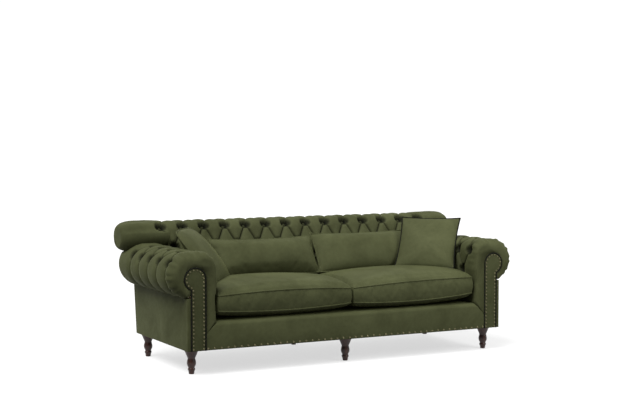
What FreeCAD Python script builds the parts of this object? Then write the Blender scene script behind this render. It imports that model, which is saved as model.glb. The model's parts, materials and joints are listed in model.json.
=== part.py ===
import FreeCAD, Part
import math
import os
from FreeCAD import Placement, Rotation, Vector

# Three-seat rolled-arm sofa with deep-buttoned back and arms, millimetres.
# X runs along the length, -Y is the front, Z is up. The origin is on the floor under the middle.

# Overall size
overall_length = 2350.0
overall_depth = 945.0
overall_height = 830.0

# Legs
leg_height = 142.0
leg_top_radius = 40.0
leg_shoulder_radius = 33.0
leg_neck_radius = 21.5
leg_bulb_radius = 26.5
leg_ankle_radius = 18.5
leg_ring_radius = 21.5
leg_toe_radius = 15.0
leg_cap_share = 0.9
leg_shoulder_share = 0.8
leg_neck_share = 0.62
leg_bulb_share = 0.46
leg_ankle_share = 0.3
leg_ring_top_share = 0.23
leg_ring_share = 0.18
leg_foot_share = 0.12
leg_end_inset = 60.0
front_leg_inset = 95.5
rear_leg_inset = 158.5
bolt_radius = 4.0
bolt_in_leg = 45.0

# Body and arms
back_overhang = 7.0
roll_overhang = 108.0
arm_breadth = 184.0
arm_height = 700.0
arm_roll_radius = 130.0
arm_crown_radius = 80.0
arm_lean = 21.0
arm_tuck_angle = 80.0
arm_front_round = 68.0
arm_front_swell = 60.0
arm_rear_round = 60.0
arm_rear_swell = 36.0
facing_radius = 66.0
facing_set_in = 25.0
facing_centre_z = 550.0
facing_column = 91.0
facing_thickness = 9.0
piping_radius = 3.5
panel_thickness = 8.0
panel_corner = 6.4

# Back
back_roll_radius = 93.0
back_roll_crown = 25.0
back_rake = 20.6
back_tuck_angle = 64.0
back_pad_thickness = 56.0
back_end_round = 120.0
back_end_face = 0.35
outside_back_foot = 115.5
outside_back_head = 52.0
saddle_gap = 2.0
saddle_rounds = 3
shelf_clearance = 4.0

# Seat
seat_level = 304.0
border_thickness = 44.0
border_round = 26.0
mitre_drop = 71.0
cushion_split = 8.0
cushion_gap = 3.0
cushion_front_inset = 8.0
cushion_past_foot = 13.1
cushion_lower_seam = 358.0
cushion_upper_seam = 450.0
cushion_crown = 52.0
cushion_fullness = 0.36
seam_bow = 16.0
side_bow = 6.0
core_height = 80.0
core_margin = 70.0

# Loose cushions
lumbar_end_room = 353.0
lumbar_height = 270.0
lumbar_thickness = 165.0
lumbar_lean_angle = 30.0
lumbar_split = 45.0
lumbar_forward = 248.5
lumbar_rise = 307.0
scatter_side = 385.0
scatter_thickness = 120.0
right_scatter_turn_angle = 43.0
right_scatter_lean_angle = 38.0
right_scatter_inset = 113.0
right_scatter_forward = 186.0
right_scatter_rise = 347.5
left_scatter_turn_angle = 52.0
left_scatter_lean_angle = 40.0
left_scatter_inset = 101.0
left_scatter_forward = 192.0
left_scatter_rise = 341.5
loose_fullness = 0.5
corner_pull = 0.07
pad_share = 0.8

# Buttoning
button_pitch = 142.0
button_radius = 11.0
button_height = 8.0
button_sides = 8
back_pit_depth = 24.0
roll_pit_depth = 16.0
arm_pit_depth = 15.0
pleat_depth = 11.0
pit_reach = 26.0
pleat_reach = 62.0
facets_per_row = 3
round_facets = 4
keyhole_facets = 6
cushion_facets = 8
pad_facets = 4
leg_facets = 16
back_lower_row = 260.0
back_middle_row = 394.0
back_upper_row = 539.0
back_crown_row = 694.0
arm_lower_row = 201.5
arm_inner_row = 332.5
arm_top_row = 490.0
arm_outer_row = 623.5
arm_buttons = 5

# Nail heads
facing_nail_pitch = 22.0
border_nail_pitch = 42.0
nail_radius = 5.5
nail_proud = 3.5
nail_edge = 11.0
nail_sides = 6

# Timber frame
rail_thickness = 30.0
rail_height = 120.0
lower_rail_height = 60.0
post_thickness = 30.0
post_clearance = 3.0
rail_setback = 8.0
board_thickness = 18.0
rib_thickness = 24.0
top_rail_height = 48.0
arm_rail_height = 40.0
leg_block_height = 40.0
leg_block_depth = 66.0
strap_width = 60.0
strap_thickness = 2.5
straps_front_to_back = 12
straps_side_to_side = 4
cloth_thickness = 2.0
joint_gap = 0.5

# Derived places
half_length = overall_length / 2
half_arms = half_length - back_overhang
half_body = half_arms - roll_overhang
half_seat = half_body - arm_breadth
leg_spacing = half_body - leg_end_inset
facing_y = -overall_depth / 2 + nail_proud
rear_y = overall_depth / 2
front_leg_y = -overall_depth / 2 + front_leg_inset
rear_leg_y = rear_y - rear_leg_inset
back_centre_z = overall_height - back_roll_radius
back_rear_centre_y = rear_y - back_roll_radius
back_front_centre_y = back_rear_centre_y - back_roll_crown
arm_centre_x = half_arms - arm_roll_radius
arm_centre_z = arm_height - arm_roll_radius
arm_crown_x = half_seat + arm_lean + arm_crown_radius
facing_centre_x = arm_centre_x - facing_set_in
facing_inner_x = facing_centre_x - facing_radius
facing_outer_x = facing_inner_x + facing_column
arm_rear_y = rear_y - outside_back_head
board_y = facing_y + facing_thickness
post_y = board_y + board_thickness
border_back_y = facing_y + border_thickness
rail_back_y = border_back_y + rail_thickness
rail_top_z = leg_height + rail_height
first_raked_y = front_leg_y + (arm_buttons - 1) * button_pitch
shelf_z = back_centre_z - back_roll_radius - shelf_clearance
step_z = leg_height + lower_rail_height
rake = math.radians(back_rake)
lean_out = Vector(0, -math.cos(rake), math.sin(rake))
lean_up = Vector(0, math.sin(rake), math.cos(rake))


# Helpers

def save(name, shape):
    shape.exportStep("parts/" + name + ".step")


def save_pair(name, shape):
    """A piece on the right and its mirror image on the left."""
    save(name + "_right", shape)
    save(name + "_left", mirrored(shape))


def mirrored(shape):
    return shape.mirror(Vector(0, 0, 0), Vector(1, 0, 0))


def block(x0, x1, y0, y1, z0, z1):
    return Part.makeBox(x1 - x0, y1 - y0, z1 - z0, Vector(x0, y0, z0))


def arc(first, middle, last):
    return Part.Arc(first, middle, last).toShape()


def line(first, last):
    return Part.LineSegment(first, last).toShape()


def polygon(points):
    return Part.Face(Part.makePolygon(points + [points[0]]))


def board(profile, x0, x1):
    """A flat board between two planes across X, from (y, z) corners."""
    corners = [Vector(x0, y, z) for y, z in profile]
    return polygon(corners).extrude(Vector(x1 - x0, 0, 0))


def solid_from(faces):
    shell = Part.makeShell(faces)
    shell.sewShape()
    solid = Part.makeSolid(shell)
    if solid.Volume < 0:
        solid = Part.makeSolid(shell.reversed())
    return solid


def strip(first, second, falling):
    """Flat triangles between two rows of points; falling(k) picks each diagonal."""
    faces = []
    for k in range(len(first) - 1):
        a, b, c, d = first[k], first[k + 1], second[k], second[k + 1]
        halves = ((a, b, d), (a, d, c)) if falling(k) else ((a, b, c), (b, d, c))
        faces += [polygon(list(half)) for half in halves]
    return faces


# Buttoned surfaces: drops below a smooth crown at u along the length and v along the path

def shoulder(offset, reach):
    """Round shoulder of a pleat: one in the pleat, nothing past its reach."""
    rise = 1.0 - min(1.0, offset / reach)
    return 1.0 - math.sqrt(1.0 - rise ** 2)


def pleat_drop(u, v, pleat):
    """Drop that one pleat gives; each of its ends holds u, v and a depth."""
    (u0, v0, first_depth), (u1, v1, last_depth) = pleat
    du, dv = u1 - u0, v1 - v0
    share = ((u - u0) * du + (v - v0) * dv) / (du ** 2 + dv ** 2)
    share = min(1.0, max(0.0, share))
    offset = math.hypot(u - u0 - share * du, v - v0 - share * dv)
    if offset >= pleat_reach:
        return 0.0
    return (first_depth + (last_depth - first_depth) * share) * shoulder(offset, pleat_reach)


def pit_drop(u, v, button):
    bu, bv, depth = button
    offset = math.hypot(u - bu, v - bv)
    if offset >= pit_reach:
        return 0.0
    return pleat_depth + (depth - pleat_depth) * (1.0 - offset / pit_reach)


def tuft_drop(u, v, pleats, buttons):
    drops = [pleat_drop(u, v, pleat) for pleat in pleats]
    drops += [pit_drop(u, v, button) for button in buttons]
    return max(drops, default=0.0)


def diagonal_pleats(rows):
    """Pleats from each button to its neighbours half a pitch away in the next row."""
    pleats = []
    for lower, upper in zip(rows, rows[1:]):
        for u, v, _ in lower:
            pleats += [((u, v, pleat_depth), (uu, vv, pleat_depth)) for uu, vv, _ in upper
                       if abs(abs(uu - u) - button_pitch / 2) < joint_gap]
    return pleats


def straight_pleats(row, end_v, end_depth):
    return [((u, v, pleat_depth), (u, end_v, end_depth)) for u, v, _ in row]


def button_row(count, first_u, v, depth):
    return [(first_u + k * button_pitch, v, depth) for k in range(count)]


def row_stations(stops):
    """Path stations: every gap between two stops in equal steps."""
    stations = [stops[0][0]]
    for (start, _), (stop, steps) in zip(stops, stops[1:]):
        stations += [start + (stop - start) * (k + 1) / steps for k in range(steps)]
    return stations


def tuft_diagonal(first_column, first_row_flip):
    """Diagonals follow the pleats: they turn over at every half pitch and every row."""
    def falling(k):
        column = first_column // facets_per_row
        row = (k + first_row_flip) // facets_per_row
        return (column + row) % 2 == 0
    return falling


def dome(place, outward, radius, height, sides):
    """A low pointed dome of few flat faces, as on a covered button or a nail head."""
    turn = [2 * math.pi * k / sides for k in range(sides)]
    rim = [Vector(radius * math.cos(a), radius * math.sin(a), 0) for a in turn]
    tip = Vector(0, 0, height)
    faces = [polygon([rim[k - 1], rim[k], tip]) for k in range(sides)]
    head = solid_from(faces + [polygon(rim[::-1])])
    head.Placement = Placement(place, Rotation(Vector(0, 0, 1), outward))
    return head


# Back: its path runs up the inside, over the roll and down to the tuck behind

back_run = (back_centre_z + back_roll_radius * math.sin(rake) - seat_level) / math.cos(rake)
back_foot = Vector(0, back_front_centre_y, back_centre_z) + lean_out * back_roll_radius - lean_up * back_run
back_turn = (math.pi / 2 - rake) * back_roll_radius
back_fall = (math.pi / 2 + math.radians(back_tuck_angle)) * back_roll_radius
back_path = back_run + back_turn + back_roll_crown + back_fall
back_start = back_middle_row + (back_upper_row - back_middle_row) * (facets_per_row - 1) / facets_per_row


def round_point(centre_y, angle):
    outward = Vector(0, math.cos(angle), math.sin(angle))
    return Vector(0, centre_y, back_centre_z) + outward * back_roll_radius, outward


def back_point(v):
    """Point and outward direction on the smooth back."""
    if v <= back_run:
        return back_foot + lean_up * v, lean_out
    beyond = v - back_run
    if beyond <= back_turn:
        return round_point(back_front_centre_y, math.pi - rake - beyond / back_roll_radius)
    beyond -= back_turn
    if beyond <= back_roll_crown:
        return Vector(0, back_front_centre_y + beyond, overall_height), Vector(0, 0, 1)
    beyond -= back_roll_crown
    return round_point(back_rear_centre_y, math.pi / 2 - beyond / back_roll_radius)


def back_rows():
    upper = int(2 * half_seat / button_pitch) + 2
    plan = ((upper - 2, back_lower_row, back_pit_depth), (upper - 1, back_middle_row, back_pit_depth),
            (upper, back_upper_row, roll_pit_depth), (upper - 1, back_crown_row, pleat_depth))
    return [button_row(n, -(n - 1) * button_pitch / 2, v, depth) for n, v, depth in plan]


def back_pleats(rows):
    pleats = diagonal_pleats(rows)
    pleats += straight_pleats(rows[0], 0.0, pleat_depth / 2)
    pleats += straight_pleats(rows[3], back_path, pleat_depth)
    ends = [rows[2][0], rows[2][-1]]
    return pleats + straight_pleats(ends, (back_upper_row + back_crown_row) / 2, 0.0)


def roll_shrink(x):
    """Share of its full size that the roll keeps towards its rounded end."""
    start = half_length - back_end_round
    if abs(x) <= start:
        return 1.0
    share = min(1.0, (abs(x) - start) / back_end_round)
    return back_end_face + (1.0 - back_end_face) * (1.0 - share ** 3) ** 0.5


def back_columns():
    step = button_pitch / 2 / facets_per_row
    whole = int((half_length - back_end_round) / step)
    right = [k * step for k in range(1, whole + 1)]
    wall = min(right, key=lambda x: abs(x - half_seat))
    right[right.index(wall)] = half_seat - joint_gap
    right += [half_length - back_end_round * (1.0 - math.sin(math.pi / 2 * k / round_facets))
              for k in range(1, round_facets + 1)]
    return [-x for x in reversed(right)] + [0.0] + right


def back_section(x, stations, pleats, buttons):
    """Points over the roll at one x, following the buttoned surface."""
    middle = Vector(0, (back_front_centre_y + back_rear_centre_y) / 2, back_centre_z)
    near_pleats = [p for p in pleats if abs(p[0][0] - x) < 2 * button_pitch]
    near_buttons = [b for b in buttons if abs(b[0] - x) < button_pitch]
    points = []
    for v in stations:
        place, outward = back_point(v)
        place = place - outward * tuft_drop(x, v, near_pleats, near_buttons)
        place = middle + (place - middle) * roll_shrink(x)
        points.append(place + Vector(x, 0, 0))
    return points


def roll_underside(x):
    """Points under the roll's overhanging end, from the tuck round to the front."""
    quarter = math.pi / 2
    tuck = math.radians(back_tuck_angle)
    plan = [(back_rear_centre_y, -(tuck + quarter) / 2), (back_rear_centre_y, -quarter)]
    for k in range(round_facets):
        plan.append((back_front_centre_y, -quarter - (quarter + rake) * k / round_facets))
    middle = Vector(0, (back_front_centre_y + back_rear_centre_y) / 2, back_centre_z)
    points = []
    for centre_y, angle in plan:
        place, _ = round_point(centre_y, angle)
        points.append(middle + (place - middle) * roll_shrink(x) + Vector(x, 0, 0))
    return points


def back_inside_edge():
    """Frame side of the back pad as (y, z): under the roll, then down the ribs."""
    foot_in = back_foot - lean_out * back_pad_thickness
    rise = (shelf_z - foot_in.z) / math.cos(rake)
    head_in = foot_in + lean_up * rise
    return [(outside_back_y(shelf_z), shelf_z), (head_in.y, shelf_z), (foot_in.y, foot_in.z)]


def outside_back_y(z):
    """Rear face of the outside back at a height."""
    foot_y = rear_y - outside_back_foot
    head_y = rear_y - outside_back_head
    return foot_y + (head_y - foot_y) * (z - leg_height) / (shelf_z - leg_height)


def make_back_pad():
    rows = back_rows()
    pleats = back_pleats(rows)
    buttons = [button for row in rows for button in row]
    n = facets_per_row
    low = row_stations([(0.0, 0), (back_lower_row, 2), (back_middle_row, n), (back_start, n - 1)])
    rearmost = back_run + back_turn + back_roll_crown + math.pi / 2 * back_roll_radius
    high = row_stations([(back_start, 0), (back_upper_row, 1), (back_crown_row, n),
                         (rearmost, 2), (back_path, 2)])
    columns = back_columns()
    wall = half_seat - joint_gap
    tops = [back_section(x, high, pleats, buttons) for x in columns]
    faces = []
    for i in range(len(columns) - 1):
        x0, x1 = columns[i], columns[i + 1]
        column = i - (len(columns) - 1) // 2
        flip = tuft_diagonal(column, n - 1)
        faces += strip(tops[i], tops[i + 1], flip)
        if max(abs(x0), abs(x1)) <= wall:
            ends = []
            for x, top in ((x0, tops[i]), (x1, tops[i + 1])):
                rest = [top[-1]] + [Vector(x, y, z) for y, z in back_inside_edge()]
                front = back_section(x, low[:-1], pleats, buttons) + [top[0]]
                ends.append((rest + [front[0]], front))
            faces += strip(ends[0][0], ends[1][0], lambda k: True)
            faces += strip(ends[0][1], ends[1][1], tuft_diagonal(column, n - 2))
        else:
            under = [[top[-1]] + roll_underside(x) + [top[0]]
                     for x, top in ((x0, tops[i]), (x1, tops[i + 1]))]
            faces += strip(under[0], under[1], lambda k: True)
    for x, top in ((-wall, tops[columns.index(-wall)]), (wall, tops[columns.index(wall)])):
        front = back_section(x, low[:-1], pleats, buttons)
        rest = [Vector(x, y, z) for y, z in back_inside_edge()]
        faces.append(polygon([top[0]] + front[::-1] + rest[::-1] + [top[-1]] + roll_underside(x)))
    for x, top in ((columns[0], tops[0]), (columns[-1], tops[-1])):
        faces.append(polygon(top + roll_underside(x)))
    save("back_pad", solid_from(faces))
    domes = [sunk_button(back_point, button, Vector(1, 0, 0)) for button in buttons]
    save("back_buttons", Part.makeCompound(domes))


def sunk_button(surface, button, along):
    """A covered button with its rim on the bottom of its pit."""
    u, v, depth = button
    place, outward = surface(v)
    place = place - outward * (depth - button_height * pad_share) + along * u
    return dome(place, outward, button_radius, button_height, button_sides)


# Arms: the path runs up the inside from the deck, over the roll and under to the tuck

arm_rise = arm_height - arm_crown_radius - seat_level
arm_run = math.hypot(arm_lean, arm_rise)
arm_turn = math.pi / 2 * arm_crown_radius
arm_flat = arm_centre_x - arm_crown_x
arm_fall = (math.pi / 2 + math.radians(arm_tuck_angle)) * arm_roll_radius
arm_path = arm_run + arm_turn + arm_flat + arm_fall


def arm_point(v):
    """Point and outward direction on the smooth right arm, in the plane across Y."""
    slope = math.atan2(arm_lean, arm_rise)
    if v <= arm_run:
        share = v / arm_run
        return (Vector(half_seat + arm_lean * share, 0, seat_level + arm_rise * share),
                Vector(-math.cos(slope), 0, math.sin(slope)))
    beyond = v - arm_run
    if beyond <= arm_turn:
        angle = math.pi - beyond / arm_crown_radius
        outward = Vector(math.cos(angle), 0, math.sin(angle))
        centre = Vector(arm_crown_x, 0, arm_height - arm_crown_radius)
        return centre + outward * arm_crown_radius, outward
    beyond -= arm_turn
    if beyond <= arm_flat:
        return Vector(arm_crown_x + beyond, 0, arm_height), Vector(0, 0, 1)
    angle = math.pi / 2 - (beyond - arm_flat) / arm_roll_radius
    outward = Vector(math.cos(angle), 0, math.sin(angle))
    return Vector(arm_centre_x, 0, arm_centre_z) + outward * arm_roll_radius, outward


def arm_rows():
    first = front_leg_y
    plan = ((arm_buttons - 1, first + button_pitch / 2, arm_lower_row),
            (arm_buttons, first, arm_inner_row),
            (arm_buttons - 1, first + button_pitch / 2, arm_top_row),
            (arm_buttons, first, arm_outer_row))
    return [button_row(n, u, v, arm_pit_depth) for n, u, v in plan]


def arm_pleats(rows):
    pleats = diagonal_pleats(rows)
    pleats += straight_pleats(rows[0], 0.0, pleat_depth / 2)
    pleats += straight_pleats(rows[3], arm_path, pleat_depth)
    u, v, _ = rows[1][0]
    return pleats + [((u, v, pleat_depth), (facing_y, v - button_pitch / 4, 0.0))]


def arm_inset(y):
    """How far the roll draws in towards its front facing and its rear end."""
    front = 1.0 - min(1.0, (y - facing_y) / arm_front_round)
    rear = 1.0 - min(1.0, (arm_rear_y - y) / arm_rear_round)
    return (arm_front_swell * (1.0 - math.sqrt(1.0 - front ** 2))
            + arm_rear_swell * (1.0 - math.sqrt(1.0 - rear ** 2)))


def under_roll_z(y):
    """Highest the arm may stand at a depth, below the back roll that crosses it."""
    centre_y = min(max(y, back_front_centre_y), back_rear_centre_y)
    aside = abs(y - centre_y)
    if aside >= back_roll_radius:
        return overall_height
    return back_centre_z - math.sqrt(back_roll_radius ** 2 - aside ** 2) - saddle_gap


def arm_section(y, stations, pleats, buttons):
    points = []
    fade = 1.0 - arm_inset(y) / arm_front_swell
    for v in stations:
        place, outward = arm_point(v)
        drop = tuft_drop(y, v, pleats, buttons) * fade
        place = place - outward * (drop + arm_inset(y))
        z = place.z
        for _ in range(saddle_rounds):
            z = min(z, under_roll_z(raked_y(y, z)))
        points.append(Vector(place.x, raked_y(y, z), z))
    return points


def raked_y(y, z):
    """Depth once the rear half of the arm follows the rake of the outside back."""
    start = first_raked_y
    end = outside_back_y(z) - panel_thickness
    return y if y <= start else start + (y - start) * (end - start) / (arm_rear_y - start)


def keyhole(bottom_z, steps):
    """Flat-sided outline round the facing as (x, z), from its inner foot over its head to its outer foot."""
    neck = facing_outer_x - facing_centre_x
    end = -math.acos(neck / facing_radius)
    half_step = (math.pi - end) / steps / 2
    reach = facing_radius / math.cos(half_step)
    angles = [math.pi - half_step * (2 * k + 1) for k in range(steps)]
    ring = [(facing_centre_x + reach * math.cos(a), facing_centre_z + reach * math.sin(a)) for a in angles]
    return [(facing_inner_x, bottom_z)] + ring + [(facing_outer_x, bottom_z)]


def arm_columns():
    step = button_pitch / 2 / facets_per_row
    shares = [1.0 - math.cos(math.pi / 2 * k / round_facets) for k in range(round_facets)]
    front = [facing_y + arm_front_round * share for share in shares]
    first = int((facing_y + arm_front_round - front_leg_y) / step)
    last = int((arm_rear_y - arm_rear_round - front_leg_y) / step)
    main = [front_leg_y + k * step for k in range(first, last + 1)]
    rear = [arm_rear_y - arm_rear_round * share for share in shares[::-1]]
    return front + main + rear, len(front) - first


def make_arm_pad():
    rows = arm_rows()
    pleats = arm_pleats(rows)
    buttons = [button for row in rows for button in row]
    n = facets_per_row
    stations = row_stations([(0.0, 0), (arm_lower_row, 2), (arm_inner_row, n), (arm_top_row, n),
                             (arm_outer_row, n), (arm_path, n + 1)])
    columns, first_leg_column = arm_columns()
    tuck_z = arm_point(arm_path)[0].z
    ring = keyhole(seat_level - mitre_drop, keyhole_facets)
    ring[-1] = (facing_outer_x, tuck_z)
    sections = [arm_section(y, stations, pleats, buttons) for y in columns]
    cores = [[Vector(x, raked_y(y, z), z) for x, z in ring[::-1]] for y in columns]
    faces = []
    for i in range(len(columns) - 1):
        flip = tuft_diagonal(i - first_leg_column, n - 2)
        faces += strip(sections[i], sections[i + 1], flip)
        loops = [[sections[j][-1]] + cores[j] + [sections[j][0]] for j in (i, i + 1)]
        faces += strip(loops[0], loops[1], lambda k: True)
    for j in (0, -1):
        faces.append(polygon(sections[j] + cores[j]))
    save_pair("arm_pad", solid_from(faces))
    domes = [sunk_button(arm_point, button, Vector(0, 1, 0)) for button in buttons]
    save("arm_buttons", Part.makeCompound(domes + [mirrored(button) for button in domes]))


def keyhole_wire(bottom_z, inset, y):
    """The facing's outline in lines and arcs, drawn in by an inset."""
    radius = facing_radius - inset
    inner_x, outer_x = facing_inner_x + inset, facing_outer_x - inset
    centre = Vector(facing_centre_x, y, facing_centre_z)
    end = -math.acos((outer_x - facing_centre_x) / radius)

    def on_ring(angle):
        return centre + Vector(radius * math.cos(angle), 0, radius * math.sin(angle))

    foot_in, foot_out = Vector(inner_x, y, bottom_z), Vector(outer_x, y, bottom_z)
    top = math.pi / 2
    edges = [line(foot_in, on_ring(math.pi)),
             arc(on_ring(math.pi), on_ring((math.pi + top) / 2), on_ring(top)),
             arc(on_ring(top), on_ring((top + end) / 2), on_ring(end)),
             line(on_ring(end), foot_out)]
    return edges, foot_in, foot_out


def keyhole_board(bottom_z, y, thickness, inset=0.0):
    edges, foot_in, foot_out = keyhole_wire(bottom_z, inset, y)
    outline = Part.Wire(edges + [line(foot_out, foot_in)])
    return Part.Face(outline).extrude(Vector(0, thickness, 0))


def nail_head(place):
    return dome(place, Vector(0, -1, 0), nail_radius, nail_proud, nail_sides)


def make_arm_facing():
    save_pair("arm_facing", keyhole_board(leg_height, facing_y, facing_thickness))
    save_pair("scroll_board", keyhole_board(leg_height, board_y, board_thickness))
    welt = keyhole_board(leg_height, facing_y - nail_proud, nail_proud, 0.0)
    welt = welt.cut(keyhole_board(0.0, facing_y - nail_proud, nail_proud, 2 * piping_radius))
    save("facing_piping", Part.makeCompound([welt, mirrored(welt)]))


def make_facing_nails():
    edges, _, _ = keyhole_wire(leg_height + nail_edge, nail_edge + piping_radius, facing_y)
    path = Part.Wire(edges)
    count = int(path.Length / facing_nail_pitch)
    places = path.discretize(Number=count)
    heads = [nail_head(place) for place in places]
    save("facing_nails", Part.makeCompound(heads + [mirrored(head) for head in heads]))


# Front border and its nails

def make_front_border():
    drop = seat_level - mitre_drop
    shape = [(-facing_inner_x, leg_height), (facing_inner_x, leg_height), (facing_inner_x, drop),
             (half_seat, seat_level), (-half_seat, seat_level), (-facing_inner_x, drop)]
    face = polygon([Vector(x, facing_y, z) for x, z in shape])
    border = face.extrude(Vector(0, border_thickness, 0))
    front_top = [e for e in border.Edges if abs(e.CenterOfMass.z - seat_level) < joint_gap
                 and abs(e.CenterOfMass.y - facing_y) < joint_gap]
    save("front_border", border.makeFillet(border_round, front_top))
    span = 2 * facing_inner_x - 2 * nail_edge
    count = int(span / border_nail_pitch)
    step = span / count
    height = leg_height + nail_edge
    heads = [nail_head(Vector(-span / 2 + k * step, facing_y, height)) for k in range(count + 1)]
    save("border_nails", Part.makeCompound(heads))


# Outside covers

def make_outside_covers():
    tuck_z = arm_point(arm_path)[0].z
    side = block(half_body - panel_thickness, half_body, facing_y, rear_y, leg_height, tuck_z)
    turned = block(facing_outer_x + joint_gap, half_body, facing_y, facing_y + panel_thickness,
                   leg_height, tuck_z)
    wrap = side.fuse(turned).removeSplitter()
    corner = [e for e in wrap.Edges if abs(e.CenterOfMass.x - half_body) < joint_gap
              and abs(e.CenterOfMass.y - facing_y) < joint_gap]
    wrap = wrap.makeFillet(panel_corner, corner)
    behind = board([(outside_back_y(leg_height) - panel_thickness, leg_height),
                    (outside_back_y(tuck_z) - panel_thickness, tuck_z),
                    (overall_depth, tuck_z), (overall_depth, leg_height)], 0, half_length)
    save_pair("outside_arm", wrap.cut(behind))
    low_y, high_y = outside_back_y(leg_height), outside_back_y(shelf_z)
    sheet = board([(low_y - panel_thickness, leg_height), (low_y, leg_height),
                   (high_y, shelf_z), (high_y - panel_thickness, shelf_z)], -half_body, half_body)
    outline = block(-half_body, half_body, 0, overall_depth, leg_height, tuck_z)
    for half_width, top in ((half_seat, shelf_z), (facing_centre_x, facing_centre_z + facing_radius),
                            (facing_outer_x, facing_centre_z)):
        outline = outline.fuse(block(-half_width, half_width, 0, overall_depth, leg_height, top))
    for side in (-1, 1):
        centre = Vector(side * facing_centre_x, 0, facing_centre_z)
        outline = outline.fuse(Part.makeCylinder(facing_radius, overall_depth, centre, Vector(0, 1, 0)))
    save("outside_back", sheet.common(outline.removeSplitter()))


# Timber frame

def make_frame():
    post_in, post_out = facing_inner_x + post_clearance, facing_outer_x - post_clearance
    post_top = facing_centre_z + arm_rail_height / 4
    panel_in = half_body - panel_thickness
    rib_back = outside_back_y(leg_height) - panel_thickness
    rear_rail_y = rib_back - rail_thickness
    mitre_z = seat_level - mitre_drop
    for name, y0, y1 in (("front_rail", border_back_y, rail_back_y), ("rear_rail", rear_rail_y, rib_back)):
        rail = block(-post_in, post_in, y0, y1, leg_height, mitre_z)
        rail = rail.fuse(block(-half_seat, half_seat, y0, y1, mitre_z, rail_top_z))
        save(name, rail.removeSplitter())
    save_pair("arm_front_post", block(post_in, post_out, post_y, post_y + post_thickness,
                                      leg_height, post_top))
    save_pair("arm_rear_post", block(post_in, post_out, rear_rail_y, rib_back, leg_height, post_top))
    save_pair("arm_side_rail", block(panel_in - rail_thickness, panel_in, post_y + post_thickness,
                                     rear_rail_y, leg_height, rail_top_z))
    save_pair("arm_top_rail", block(post_in, post_out, post_y + post_thickness, rear_rail_y,
                                    post_top - arm_rail_height, post_top))
    seat_rail_front = back_foot.y + rail_setback
    seat_rail_back = seat_rail_front + rail_thickness
    lower = block(half_seat - rail_thickness, half_seat, rail_back_y, rear_rail_y, leg_height, step_z)
    upper = block(half_seat - rail_thickness, half_seat, rail_back_y, seat_rail_front, step_z, rail_top_z)
    save_pair("seat_side_rail", lower.fuse(upper).removeSplitter())
    save("seat_back_rail", block(-half_seat, half_seat, seat_rail_front, seat_rail_back, step_z, rail_top_z))
    half = rail_thickness / 2
    centre_rail = block(-half, half, rail_back_y + leg_block_depth, rear_rail_y - leg_block_depth,
                        leg_height, step_z)
    save("centre_rail", centre_rail)
    make_back_frame(seat_rail_front)


def make_back_frame(seat_rail_front):
    (_, _), (head_y, _), (foot_y, foot_z) = back_inside_edge()
    neck_z = shelf_z - top_rail_height
    neck_y = foot_y + (neck_z - foot_z) * math.tan(rake)
    inner_neck = outside_back_y(neck_z) - panel_thickness
    inner_head = outside_back_y(shelf_z) - panel_thickness
    rib = [(seat_rail_front, rail_top_z), (foot_y, foot_z), (neck_y, neck_z), (inner_neck, neck_z),
           (outside_back_y(rail_top_z) - panel_thickness, rail_top_z)]
    outer = half_seat - rib_thickness
    save_pair("back_rib", board(rib, outer, outer + rib_thickness - joint_gap))
    middle = half_seat / 3
    inner_rib = board(rib, middle - rib_thickness / 2, middle + rib_thickness / 2)
    save("back_ribs_inner", Part.makeCompound([inner_rib, mirrored(inner_rib)]))
    rail = [(neck_y, neck_z), (head_y, shelf_z), (inner_head, shelf_z), (inner_neck, neck_z)]
    save("back_top_rail", board(rail, -half_seat + joint_gap, half_seat - joint_gap))


# Seat platform

def make_platform():
    first = back_foot.y + rail_setback + rail_thickness
    lanes = []
    for k in range(straps_front_to_back):
        x = (2 * k + 1 - straps_front_to_back) * (half_seat - rail_thickness) / straps_front_to_back
        lanes.append(block(x - strap_width / 2, x + strap_width / 2, border_back_y, first,
                           rail_top_z, rail_top_z + strap_thickness))
    lower = rail_top_z + strap_thickness
    for k in range(straps_side_to_side):
        y = rail_back_y + (2 * k + 1) * (first - rail_thickness - rail_back_y) / straps_side_to_side / 2
        lanes.append(block(-half_seat, half_seat, y - strap_width / 2, y + strap_width / 2,
                           lower, lower + strap_thickness))
    save("seat_webbing", Part.makeCompound(lanes))
    pad = block(-half_seat + joint_gap, half_seat - joint_gap, border_back_y, back_foot.y - joint_gap,
                lower + strap_thickness, seat_level)
    save("deck_pad", pad)


def make_dust_cover():
    rear = outside_back_y(leg_height) - panel_thickness
    half = half_body - panel_thickness
    sheet = block(-half, half, border_back_y, rear, leg_height - cloth_thickness, leg_height)
    room = leg_top_radius + cloth_thickness
    for x, y in leg_places():
        sheet = sheet.cut(block(x - room, x + room, y - room, y + room, 0, leg_height))
    save("dust_cover", sheet)


# Legs

def leg_places():
    return [(x, y) for y in (front_leg_y, rear_leg_y) for x in (-leg_spacing, 0.0, leg_spacing)]


def turned_leg():
    """A turned foot: cap, cove to the neck, bulb, ankle, ring and toe."""
    outline = [(leg_top_radius, 1.0), (leg_top_radius, leg_cap_share),
               (leg_shoulder_radius, leg_shoulder_share), (leg_neck_radius, leg_neck_share),
               (leg_bulb_radius, leg_bulb_share), (leg_ankle_radius, leg_ankle_share),
               (leg_ankle_radius, leg_ring_top_share), (leg_ring_radius, leg_ring_share),
               (leg_ankle_radius, leg_foot_share), (leg_toe_radius, 0.0)]
    turn = [2 * math.pi * k / leg_facets for k in range(leg_facets + 1)]
    rings = [[Vector(radius * math.cos(a), radius * math.sin(a), leg_height * share) for a in turn]
             for radius, share in outline]
    faces = [polygon(rings[0][:-1]), polygon(rings[-1][:-1])]
    for upper, lower in zip(rings, rings[1:]):
        faces += strip(upper, lower, lambda k: True)
    return solid_from(faces)


def hex_bar(radius, x, y, z0, z1):
    turn = [math.pi / 3 * k for k in range(6)]
    corners = [Vector(x + radius * math.cos(a), y + radius * math.sin(a), z0) for a in turn]
    return polygon(corners).extrude(Vector(0, 0, z1 - z0))


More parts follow.
